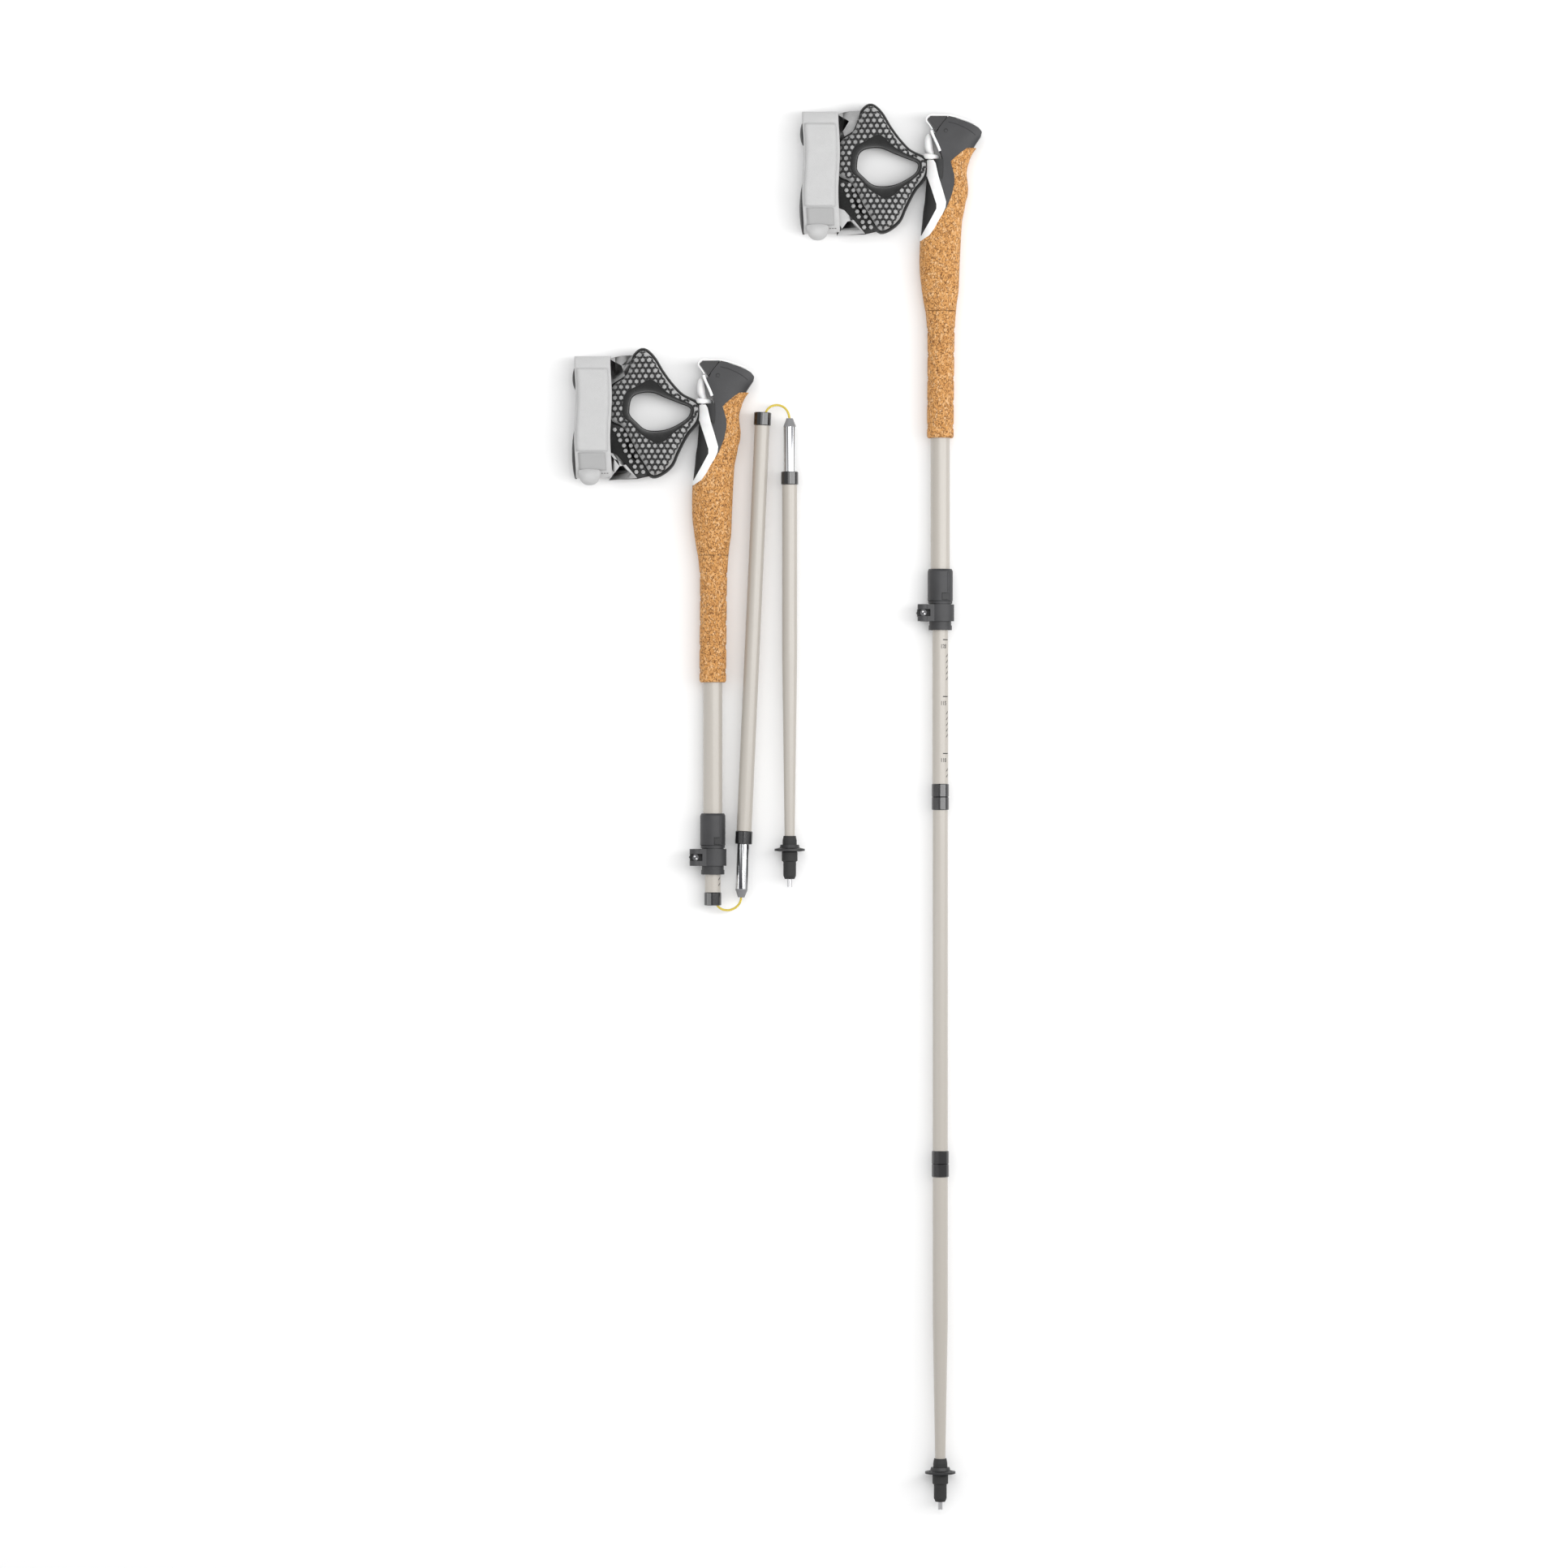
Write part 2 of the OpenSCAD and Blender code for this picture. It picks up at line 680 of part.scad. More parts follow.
on_folded(fold_reach) socket_collar();  // folded_socket_collar
on_folded_mid() mid_shaft(fold_mid_l);  // folded_mid_shaft
on_folded_mid() mid_collars(fold_mid_l);  // folded_mid_collars
on_folded_mid() plug(socket_r);  // folded_mid_plug
on_folded_lower() lower_shaft(fold_lower_l);  // folded_lower_shaft
on_folded_lower() lower_collar();  // folded_lower_collar
on_folded_lower() plug(socket_r);  // folded_lower_plug
on_folded_lower() tip_holder(fold_lower_l);  // folded_tip_holder
on_folded_lower() basket(fold_lower_l);  // folded_basket
on_folded_lower() carbide_tip(fold_lower_l);  // folded_carbide_tip
on_folded() strap_glove();  // folded_strap_glove
on_folded() wrist_band();  // folded_wrist_band
color("khaki") cord(KNEE_LOWER);  // folded_knee_cord_lower
color("khaki") cord(KNEE_UPPER);  // folded_knee_cord_upper
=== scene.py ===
import json
import math

import bmesh
import bpy
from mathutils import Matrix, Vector


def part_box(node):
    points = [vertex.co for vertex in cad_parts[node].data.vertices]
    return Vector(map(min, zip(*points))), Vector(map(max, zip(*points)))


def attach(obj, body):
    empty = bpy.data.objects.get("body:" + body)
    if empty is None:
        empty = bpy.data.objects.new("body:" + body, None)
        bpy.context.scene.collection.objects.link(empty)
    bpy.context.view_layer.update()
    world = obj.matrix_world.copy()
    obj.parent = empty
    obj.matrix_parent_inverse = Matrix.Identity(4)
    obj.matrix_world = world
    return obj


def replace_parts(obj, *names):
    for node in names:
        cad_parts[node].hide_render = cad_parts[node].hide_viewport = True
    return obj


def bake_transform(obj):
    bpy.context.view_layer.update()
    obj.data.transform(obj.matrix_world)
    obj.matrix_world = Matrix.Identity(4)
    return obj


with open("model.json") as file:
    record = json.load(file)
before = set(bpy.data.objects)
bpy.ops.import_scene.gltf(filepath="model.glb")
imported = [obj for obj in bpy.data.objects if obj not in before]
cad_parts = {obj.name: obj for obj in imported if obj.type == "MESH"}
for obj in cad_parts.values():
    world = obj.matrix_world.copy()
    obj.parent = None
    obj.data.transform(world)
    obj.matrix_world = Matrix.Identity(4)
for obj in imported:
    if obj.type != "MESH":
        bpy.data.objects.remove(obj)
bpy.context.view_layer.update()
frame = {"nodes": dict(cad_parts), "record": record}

MM = 0.001
POLES = ("extended", "folded")
SHAFT_TOP = 62.0      # from the pole's top down to the grip shaft's end, mm
FOLD_LEAN = 2.55      # turn of the folded pole's middle section, degrees
FOLD_MID_FOOT, FOLD_LOWER_FOOT = (-29.7, -32.0), (10.65, 293.8)
INNER_MOUTH = 593.4   # assembled pole's top to its telescoping tube's end, mm
INNER_R, SLEEVE_R, PLUG_R = 6.9, 11.0, 5.3
AXIS_H = 1000 * sum(c[2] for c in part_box("extended_upper_shaft")) / 2


class Pole:
    """Places points given in mm as (x, d, z): across, down from the pole's top, and up."""

    def __init__(self, name):
        low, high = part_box(name + "_upper_shaft")
        self.name = name
        self.x = 1000 * (low[0] + high[0]) / 2
        self.top = 1000 * high[1] + SHAFT_TOP
        self.upper = name + "_upper"
        self.strap = name + "_strap"

    def at(self, p):
        return Vector((self.x + p[0], self.top - p[1], AXIS_H + p[2])) * MM


# ---------------------------------------------------------------- camera, light, floor

def build_stage():
    scene = bpy.context.scene
    camera = bpy.data.objects.new("camera", bpy.data.cameras.new("camera"))
    camera.data.lens = 150
    camera.data.sensor_width = 36
    camera.data.clip_end = 50
    camera.location = (0.0057, 0.0206, 5.715 + AXIS_H * MM)
    scene.collection.objects.link(camera)
    scene.camera = camera
    scene.view_settings.view_transform = "Standard"

    bpy.ops.mesh.primitive_plane_add(size=12, location=(0, 0, -0.0005))
    floor = bpy.context.object
    floor.name = "floor"
    floor.data.materials.append(floor_finish())

    world = bpy.data.worlds.new("studio")
    scene.world = world
    world.use_nodes = True
    world.node_tree.nodes["Background"].inputs["Color"].default_value = (1, 1, 1, 1)
    world.node_tree.nodes["Background"].inputs["Strength"].default_value = 0.62
    add_light("key_strip", (1.35, 0.3, 1.7), (0.7, 3.2), 34)
    add_light("fill_strip", (-1.9, -0.2, 1.3), (0.35, 3.0), 9)
    add_light("top_soft", (-0.3, 0.9, 2.6), (1.6, 1.6), 16)


def add_light(name, place, size, power):
    lamp = bpy.data.lights.new(name, "AREA")
    lamp.shape = "RECTANGLE"
    lamp.size, lamp.size_y = size
    lamp.energy = power
    holder = bpy.data.objects.new(name, lamp)
    holder.location = place
    aim = Vector((0, 0, 0)) - Vector((place[0], 0, place[2]))
    holder.rotation_euler = aim.to_track_quat("-Z", "Y").to_euler()
    bpy.context.scene.collection.objects.link(holder)


# ---------------------------------------------------------------- materials

class Finish:
    """A node material that is written as short expressions."""

    def __init__(self, name, colour, rough, metal=0.0, **sockets):
        self.mat = bpy.data.materials.new(name)
        self.mat.use_nodes = True
        self.tree = self.mat.node_tree
        self.shader = self.tree.nodes["Principled BSDF"]
        self.shader.inputs["Base Color"].default_value = (*colour, 1)
        self.shader.inputs["Roughness"].default_value = rough
        self.shader.inputs["Metallic"].default_value = metal
        for key, value in sockets.items():
            self.shader.inputs[key.replace("_", " ")].default_value = value
        self.coord = self.tree.nodes.new("ShaderNodeTexCoord").outputs["Object"]
        self.height = None

    def node(self, kind, out=0, inputs=None, **settings):
        made = self.tree.nodes.new("ShaderNode" + kind)
        for key, value in settings.items():
            setattr(made, key, value)
        for key, value in (inputs or {}).items():
            if isinstance(value, bpy.types.NodeSocket):
                self.tree.links.new(value, made.inputs[key])
            else:
                made.inputs[key].default_value = value
        return made.outputs[out]

    def math(self, operation, a, b=0.0, clamp=False):
        return self.node("Math", inputs={0: a, 1: b}, operation=operation, use_clamp=clamp)

    def noise(self, scale, detail=3.0, stretch=(1, 1, 1), rough=0.5):
        place = self.node("Mapping", inputs={"Vector": self.coord, "Scale": stretch})
        return self.node("TexNoise", inputs={
            "Vector": place, "Scale": scale, "Detail": detail, "Roughness": rough})

    def cells(self, scale, feature="F1", out="Distance", vector=None):
        return self.node("TexVoronoi", out=out, inputs={
            "Vector": vector or self.coord, "Scale": scale}, feature=feature)

    def ramp(self, value, *stops):
        made = self.tree.nodes.new("ShaderNodeValToRGB")
        while len(made.color_ramp.elements) < len(stops):
            made.color_ramp.elements.new(0.5)
        for element, (where, colour) in zip(made.color_ramp.elements, stops):
            element.position = where
            element.color = (*colour, 1)
        self.tree.links.new(value, made.inputs[0])
        return made.outputs[0]

    def mix(self, factor, a, b, mode="MIX"):
        made = self.tree.nodes.new("ShaderNodeMix")
        made.data_type = "RGBA"
        made.blend_type = mode
        for socket, value in ((0, factor), (6, a), (7, b)):
            if isinstance(value, bpy.types.NodeSocket):
                self.tree.links.new(value, made.inputs[socket])
            elif socket:
                made.inputs[socket].default_value = (*value, 1)
            else:
                made.inputs[socket].default_value = value
        return made.outputs[2]

    def colour(self, value):
        self.tree.links.new(value, self.shader.inputs["Base Color"])

    def rough(self, value, low, high):
        spread = self.node("MapRange", inputs={"Value": value, "To Min": low, "To Max": high})
        self.tree.links.new(spread, self.shader.inputs["Roughness"])

    def bump(self, height, distance, strength=1.0):
        inputs = {"Height": height, "Distance": distance, "Strength": strength}
        if self.height is not None:
            inputs["Normal"] = self.height
        self.height = self.node("Bump", inputs=inputs)
        self.tree.links.new(self.height, self.shader.inputs["Normal"])


def floor_finish():
    f = Finish("floor_paper", (0.93, 0.93, 0.93), 0.9)
    f.bump(f.noise(60), 0.0004, 0.2)
    return f.mat


def cork_finish(name="cork"):
    """Pressed cork: chips of several browns with dark gaps between them."""
    f = Finish(name, (0.7, 0.4, 0.15), 0.75, Specular_IOR_Level=0.3)
    warp = f.node("TexNoise", out=1, inputs={"Vector": f.coord, "Scale": 380.0, "Detail": 2.0})
    moved = f.node("VectorMath", inputs={0: f.coord, 1: f.node(
        "VectorMath", inputs={0: warp, 1: (0.0022, 0.0022, 0.0022)}, operation="MULTIPLY")},
        operation="ADD")
    stretched = f.node("Mapping", inputs={
        "Vector": moved, "Rotation": (0.3, 0.2, 0.75), "Scale": (1.0, 0.62, 1.0)})
    chip = f.cells(640.0, out="Color", vector=stretched)
    tone = f.node("SeparateColor", inputs={"Color": chip})
    gaps = f.cells(640.0, "DISTANCE_TO_EDGE", vector=stretched)
    body = f.ramp(tone, (0.0, (0.42, 0.17, 0.03)), (0.3, (0.60, 0.265, 0.055)),
                  (0.7, (0.69, 0.34, 0.10)), (1.0, (0.80, 0.50, 0.25)))
    grain = f.noise(2600.0, 2.0)
    body = f.mix(0.35, body, f.ramp(grain, (0.3, (0.38, 0.15, 0.03)), (0.7, (0.84, 0.53, 0.27))))
    crack = f.ramp(gaps, (0.0, (1, 1, 1)), (0.17, (0, 0, 0)))
    patchy = f.ramp(f.noise(520.0, 2.0), (0.42, (0, 0, 0)), (0.55, (1, 1, 1)))
    dark = f.mix(1.0, crack, patchy, "MULTIPLY")
    f.colour(f.mix(dark, body, (0.10, 0.032, 0.006)))
    f.bump(f.math("MINIMUM", gaps, 0.16), 0.0012, 0.9)
    f.bump(grain, 0.0002, 0.5)
    f.rough(grain, 0.62, 0.85)
    return f.mat


def shaft_finish():
    """Warm grey satin coat on a drawn tube."""
    f = Finish("shaft_coat", (0.50, 0.468, 0.425), 0.34, Coat_Weight=0.35, Coat_Roughness=0.22,
               Specular_IOR_Level=0.5)
    speck = f.noise(4200.0, 2.0)
    f.colour(f.ramp(speck, (0.35, (0.40, 0.37, 0.33)), (0.65, (0.455, 0.424, 0.382))))
    drawn = f.noise(900.0, 3.0, stretch=(1, 0.02, 1))
    f.rough(drawn, 0.28, 0.42)
    f.bump(drawn, 0.00006, 0.25)
    f.bump(speck, 0.00003, 0.25)
    return f.mat


def moulded_finish(name, colour, low, high, grain=0.00008, scale=1900.0):
    """Moulded plastic or rubber with a fine eroded grain and slightly worn tone."""
    f = Finish(name, colour, low, Specular_IOR_Level=0.45)
    fine = f.noise(scale, 3.0)
    cloud = f.noise(46.0, 4.0)
    lighter = tuple(min(1.0, c * 1.45 + 0.004) for c in colour)
    f.colour(f.mix(f.ramp(cloud, (0.38, (0, 0, 0)), (0.72, (1, 1, 1))), colour, lighter))
    f.rough(cloud, low, high)
    f.bump(fine, grain, 0.6)
    return f.mat


def gloss_finish():
    f = Finish("gloss_black", (0.006, 0.006, 0.007), 0.12, Coat_Weight=0.6, Coat_Roughness=0.05)
    drawn = f.noise(300.0, 2.0, stretch=(1, 0.1, 1))
    f.rough(drawn, 0.09, 0.2)
    f.bump(f.noise(5200.0, 1.0), 0.00002, 0.2)
    return f.mat


def plug_finish():
    """Polished aluminium with fine lengthways drawing marks in its roughness and bump; its colour holds
    painted reflection, long dark and bright lengthways streaks.
    """
    f = Finish("plug_metal", (0.80, 0.81, 0.82), 0.16, 1.0)
    drawn = f.noise(1400.0, 2.0, stretch=(1, 0.015, 1))
    painted_reflection = f.noise(330.0, 2.0, stretch=(1, 0.012, 1))
    f.rough(drawn, 0.1, 0.24)
    # Painted reflection: dark and bright lengthways streaks in the base colour stand in for reflected
    # lamps and surroundings.
    f.colour(f.ramp(painted_reflection, (0.40, (0.05, 0.05, 0.055)), (0.47, (0.62, 0.63, 0.64)),
                    (0.56, (0.90, 0.91, 0.92)), (0.64, (0.30, 0.30, 0.31))))
    f.bump(drawn, 0.00005, 0.35)
    return f.mat


def steel_finish():
    f = Finish("steel", (0.50, 0.50, 0.51), 0.3, 1.0)
    turned = f.noise(2400.0, 2.0)
    f.rough(turned, 0.22, 0.42)
    f.bump(turned, 0.00004, 0.5)
    return f.mat


def white_finish():
    """Satin white moulding, a little greyer where hands have rubbed it."""
    f = Finish("white_moulding", (0.86, 0.86, 0.86), 0.36, Subsurface_Weight=0.05,
               Subsurface_Scale=0.002)
    cloud = f.noise(70.0, 3.0)
    f.colour(f.ramp(cloud, (0.35, (0.80, 0.80, 0.795)), (0.6, (0.89, 0.89, 0.89))))
    f.rough(cloud, 0.3, 0.44)
    f.bump(f.noise(2200.0, 2.0), 0.00003, 0.4)
    return f.mat


def fabric_finish(name, dark, light, pitch, depth, mottle=0.25):
    """Woven cloth: two crossing waves of thread, with brushed fibres over them."""
    f = Finish(name, light, 0.85, Sheen_Weight=0.3, Sheen_Roughness=0.5,
               Specular_IOR_Level=0.2)
    wave = 2 * math.pi / pitch
    parts = f.node("SeparateXYZ", out="X", inputs={"Vector": f.coord})
    split = parts.node
    across = f.math("SINE", f.math("MULTIPLY", split.outputs["X"], wave))
    along = f.math("SINE", f.math("MULTIPLY", split.outputs["Y"], wave))
    weave = f.math("ADD", f.math("MULTIPLY", f.math("MULTIPLY", across, along), 0.5), 0.5)
    fibre = f.noise(3000.0, 3.0)
    cloud = f.noise(160.0, 4.0)
    value = f.math("ADD", f.math("MULTIPLY", weave, 0.45), f.math("MULTIPLY", fibre, 0.55))
    cloth = f.ramp(value, (0.25, dark), (0.7, light))
    worn = tuple(c * (1 - mottle) for c in light)
    f.colour(f.mix(f.ramp(cloud, (0.42, (0.55, 0.55, 0.55)), (0.6, (0, 0, 0))), cloth, worn))
    f.bump(weave, depth, 0.8)
    f.bump(fibre, depth * 0.8, 0.6)
    return f.mat


def cord_finish():
    """Braided elastic cord: slanting yellow strands with a paler fleck."""
    f = Finish("cord_braid", (0.72, 0.55, 0.05), 0.6, Sheen_Weight=0.2)
    strands = f.node("TexWave", inputs={
        "Vector": f.node("Mapping", inputs={
            "Vector": f.coord, "Rotation": (0.4, 0.3, 0.8)}), "Scale": 380.0,
        "Distortion": 2.0, "Detail": 1.0})
    f.colour(f.ramp(strands, (0.2, (0.50, 0.36, 0.03)), (0.75, (0.83, 0.67, 0.10))))
    f.bump(strands, 0.0002, 0.8)
    return f.mat


def build_finishes():
    return {
        "cork": cork_finish(),
        "shaft_finish": shaft_finish(),
        "dark_plastic": moulded_finish("dark_moulding", (0.026, 0.026, 0.028), 0.38, 0.56),
        "black_plastic": moulded_finish("black_moulding", (0.012, 0.012, 0.013), 0.32, 0.5),
        "black_rubber": moulded_finish("black_rubber", (0.013, 0.013, 0.013), 0.55, 0.75,
                                       0.00012, 1300.0),
        "white_plastic": white_finish(),
        "steel": steel_finish(),
        "dark_steel": moulded_finish("dark_steel", (0.06, 0.06, 0.065), 0.3, 0.45),
        "gloss_black": gloss_finish(),
        "plug_metal": plug_finish(),
        "nose_grey": moulded_finish("nose_grey", (0.20, 0.20, 0.205), 0.4, 0.55),
        "print": moulded_finish("scale_print", (0.02, 0.02, 0.02), 0.45, 0.6, 0.00002),
        "mesh_fabric": fabric_finish("mesh_black", (0.006, 0.006, 0.006), (0.03, 0.03, 0.031),
                                     0.0011, 0.0003),
        "edge_fabric": fabric_finish("edge_black", (0.004, 0.004, 0.004), (0.022, 0.022, 0.022),
                                     0.0009, 0.0002),
        "lining": fabric_finish("lining_grey", (0.22, 0.22, 0.22), (0.62, 0.62, 0.62),
                                0.0013, 0.0003, 0.45),
        "band_fabric": fabric_finish("band_grey", (0.40, 0.40, 0.40), (0.66, 0.66, 0.66),
                                     0.0010, 0.00022, 0.16),
        "label": fabric_finish("label_grey", (0.33, 0.33, 0.33), (0.44, 0.44, 0.44),
                               0.0007, 0.0001, 0.1),
        "thread": moulded_finish("thread_grey", (0.12, 0.12, 0.12), 0.6, 0.8),
        "cord": cord_finish(),
    }


build_stage()
FINISH = build_finishes()


def finish_cad_nodes():
    """Every CAD node that stays shown takes its own finish."""
    slots = {s["node"]: s["material_slot"] for s in frame["record"]["subparts"]}
    for name, piece in frame["nodes"].items():
        key = slots[name].replace("grip_shaft_finish", "shaft_finish")
        if name.endswith(("lever_bolt", "trigger_pivot")):
            key = "dark_steel"
        piece.data.materials.clear()
        piece.data.materials.append(FINISH[key])


finish_cad_nodes()


# ---------------------------------------------------------------- mesh helpers

def spline(points, count, closed=False):
    """Catmull-Rom curve through the points, resampled to count equal steps."""
    n = len(points)
    points = [Vector(p) for p in points]
    dense = []
    for i in range(n if closed else n - 1):
        if closed:
            a, b, c, d = (points[(i + k) % n] for k in (-1, 0, 1, 2))
        else:
            a, b, c, d = (points[min(max(i + k, 0), n - 1)] for k in (-1, 0, 1, 2))
        for k in range(12):
            t = k / 12
            dense.append(0.5 * (2 * b + (c - a) * t + (2 * a - 5 * b + 4 * c - d) * t * t
                                + (3 * b - a - 3 * c + d) * t ** 3))
    dense.append(dense[0].copy() if closed else points[-1])
    run = [0.0]
    for p, q in zip(dense, dense[1:]):
        run.append(run[-1] + (q - p).length)
    out, k = [], 0
    steps = count if closed else count - 1
    for i in range(count):
        want = run[-1] * i / steps
        while k < len(run) - 2 and run[k + 1] < want:
            k += 1
        part = (want - run[k]) / max(run[k + 1] - run[k], 1e-9)
        out.append(dense[k].lerp(dense[k + 1], min(part, 1.0)))
    return out


def new_piece(name, verts, faces, finish, sharp=35):
    mesh = bpy.data.meshes.new(name)
    mesh.from_pydata([tuple(v) for v in verts], [], faces)
    return dress(name, mesh, finish, sharp)


def dress(name, mesh, finish, sharp=35):
    """Object for a mesh, with outward faces, smooth shading and sharp creases."""
    bm = bmesh.new()
    bm.from_mesh(mesh)
    bmesh.ops.recalc_face_normals(bm, faces=bm.faces)
    for face in bm.faces:
        face.smooth = True
    for edge in bm.edges:
        if edge.is_manifold and edge.calc_face_angle(0) > math.radians(sharp):
            edge.smooth = False
    bm.to_mesh(mesh)
    bm.free()
    mesh.materials.clear()
    mesh.materials.append(FINISH[finish])
    obj = bpy.data.objects.new(name, mesh)
    bpy.context.scene.collection.objects.link(obj)
    return obj


def skin_rings(rings, closed_ends=True, looped=False):
    """Vertices and faces of a skin over rings with equal point counts."""
    n = len(rings[0])
    verts = [p for ring in rings for p in ring]
    faces = []
    last = len(rings) if looped else len(rings) - 1
    for k in range(last):
        a, b = k * n, (k + 1) % len(rings) * n
        for i in range(n):
            j = (i + 1) % n
            faces.append((a + i, a + j, b + j, b + i))
    if closed_ends and not looped:
        faces += [tuple(range(n - 1, -1, -1)), tuple((len(rings) - 1) * n + i for i in range(n))]
    return verts, faces


def sweep_rings(path, radii, sides=16, up=(0, 0, 1), closed=False):
    """Rings of (width, height) radii round a path; width lies across the up direction."""
    rings = []
    n = len(path)
    for i, p in enumerate(path):
        a = path[(i - 1) % n] if closed else path[max(i - 1, 0)]
        b = path[(i + 1) % n] if closed else path[min(i + 1, n - 1)]
        along = (b - a).normalized()
        side = along.cross(Vector(up)).normalized()
        over = side.cross(along).normalized()
        w, h = radii(i / max(n - 1, 1)) if callable(radii) else radii
        rings.append([p + side * (w * math.cos(t)) + over * (h * math.sin(t))
                      for t in (2 * math.pi * k / sides for k in range(sides))])
    return rings


def tube_piece(name, path, radii, finish, sides=16, closed=False, up=(0, 0, 1)):
    rings = sweep_rings(path, radii, sides, up, closed)
    verts, faces = skin_rings(rings, True, closed)
    return new_piece(name, verts, faces, finish, 50)


def combine(name, base, tools, finish, sharp=35):
    """Applies exact booleans of (operation, mesh) to a mesh and gives the result as a piece."""
    made = [bpy.data.objects.new("base", base)]
    for operation, mesh in tools:
        made.append(bpy.data.objects.new("tool", mesh))
        cut = made[0].modifiers.new("cut", "BOOLEAN")
        cut.operation, cut.solver, cut.object = operation, "EXACT", made[-1]
    for o in made:
        bpy.context.scene.collection.objects.link(o)
    shape = made[0].evaluated_get(bpy.context.evaluated_depsgraph_get())
    mesh = bpy.data.meshes.new_from_object(shape)
    for o in made:
        bpy.data.objects.remove(o)
    return dress(name, mesh, finish, sharp)


def bore_mesh(pole, radius=8.4, sides=72):
    """Cylinder where the grip's shaft passes."""
    rings = [[pole.at((radius * math.cos(t), d, radius * math.sin(t)))
              for t in (2 * math.pi * k / sides for k in range(sides))]
             for d in (SHAFT_TOP, CORK_END + 4)]
    return closed_mesh(*skin_rings(rings))


def closed_mesh(verts, faces):
    mesh = bpy.data.meshes.new("solid")
    mesh.from_pydata([tuple(v) for v in verts], [], faces)
    bm = bmesh.new()
    bm.from_mesh(mesh)
    bmesh.ops.recalc_face_normals(bm, faces=bm.faces)
    bm.to_mesh(mesh)
    bm.free()
    return mesh


def prism_mesh(pole, outline, z=40.0):
    n = len(outline)
    verts = [pole.at((x, d, side * z)) for side in (-1, 1) for x, d in outline]
    faces = [tuple(range(n - 1, -1, -1)), tuple(range(n, 2 * n))]
    faces += [(i, (i + 1) % n, (i + 1) % n + n, i + n) for i in range(n)]
    return closed_mesh(verts, faces)


# ---------------------------------------------------------------- tension cords at the knees

CORD_D = 0.002


def cord_piece(name, points):
    """One half of a knee's cord, a fixed tube along its curved route between the two bodies it joins.
    """
    path = spline([Vector(p) * MM for p in points], 30)
    piece = tube_piece(name, path, (CORD_D / 2, CORD_D / 2), "cord", 12, up=(0.02, 0.01, 1))
    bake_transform(piece)
    return piece


def build_cords():
    """Each row: name, CAD node, bodies, where the bend starts and ends, and the route in mm."""
    rows = (
        ("knee_cord_upper_a", "folded_knee_cord_upper", ("folded_lower", "folded_knee_upper"),
         (10.65, 338, 13.5), (2.5, 352, 10.3),
         [(10.65, 322, 13.5), (10.65, 329, 13.5), (10.6, 337, 13.45), (10.4, 341, 13),
          (9.3, 345.4, 12.2), (7, 349, 11.2), (4, 351.2, 10.5), (0.4, 352.3, 10.2)]),
        ("knee_cord_upper_b", "folded_knee_cord_upper", ("folded_knee_upper", "folded_mid"),
         (-1.5, 352, 10.3), (-11.4, 339, 13.5),
         [(0.4, 352.3, 10.2), (-3.2, 351.9, 10.6), (-6.9, 350.2, 11.4), (-9.6, 347, 12.4),
          (-11, 343, 13.1), (-11.8, 337, 13.5), (-12.2, 331, 13.5), (-12.9, 322, 13.5)]),
        ("knee_cord_lower_a", "folded_knee_cord_lower", ("folded_mid", "folded_knee_lower"),
         (-31.9, -79, 13.5), (-41.5, -89.8, 10.2),
         [(-31.0, -62, 13.5), (-31.4, -70, 13.5), (-31.7, -77.2, 13.5), (-32.4, -81.8, 12.8),
          (-34.2, -85.2, 11.6), (-37.4, -88, 10.6), (-41.2, -89.6, 10.2),
          (-43.2, -89.9, 10.3)]),
        ("knee_cord_lower_b", "folded_knee_cord_lower", ("folded_knee_lower", "folded_inner"),
         (-45, -89.9, 10.3), (-54.3, -81, 13.5),
         [(-43.2, -89.9, 10.3), (-46.5, -89.6, 10.6), (-49.4, -88.6, 11.3), (-52, -86.5, 12.2),
          (-53.7, -83, 13), (-54.4, -79, 13.4), (-54.6, -73, 13.5), (-54.6, -64, 13.5)]),
    )
    for name, node, bodies, start, end, route in rows:
        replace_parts(cord_piece(name, route), node)


# ---------------------------------------------------------------- grip

CORK_TOP, SEAM, CORK_END = 27.7, 170.0, 281.0
ROUNDNESS = 2.3       # exponent of the grip's rounded sections
GRIP = [  # d, front x, back x, thickness
    (-2, -22, 46, 21), (14, -22, 42, 23), (28, -18, 31.5, 24), (36, -12.6, 26.5, 24.5),
    (40, -12.3, 25.2, 24.7), (44, -12.2, 23.8, 25), (50, -12.3, 23.1, 25.2),
    (57, -12.6, 23.8, 25.6), (63, -13, 24.4, 26), (70, -13.6, 23.7, 26.2),
    (74, -13.9, 22.4, 26.4), (82, -15.2, 21, 26.6), (91, -16, 19.1, 26.8),
    (104, -17.4, 18.2, 27), (120, -18.1, 17.4, 27), (136, -17.9, 16.7, 27), (153, -16, 16, 26),
    (162, -14.6, 14.6, 25.4), (170, -13.1, 13.8, 25.2), (180, -11.9, 13, 24.4),
    (196, -11.2, 12.4, 23.8), (270, -11.6, 11.8, 23.4), (284, -11.6, 11.7, 23)]
CORK_EDGE = [(28.7, 27.7), (23.2, 28.2), (18.2, 31.7), (12.4, 36.6), (8.8, 40.1), (9.6, 43.4),
             (10.8, 47.6), (11.9, 51.4), (12.1, 55.6), (12.0, 59.6), (11.3, 62.6), (10.5, 66.4),
             (9.3, 70.5), (7.4, 75.3), (5.3, 80.4)]
BAND_EDGE = [(4.4, 80.4), (4.8, 75.5), (1.7, 64.5), (-1.7, 53.5)]
HOOK_TAIL = [(4.3, 80.4), (1.6, 86.2), (-1.7, 91.4), (-5.4, 98.4), (-9.7, 104.4),
             (-16.6, 108.8), (-40, 112)]
CORE = [(-11.7, 52.5), (-7.6, 65), (-3.7, 77.5), (-3.7, 81.4), (-10, 93), (-16.6, 104.4),
        (-40, 104.4), (-40, 52.5)]
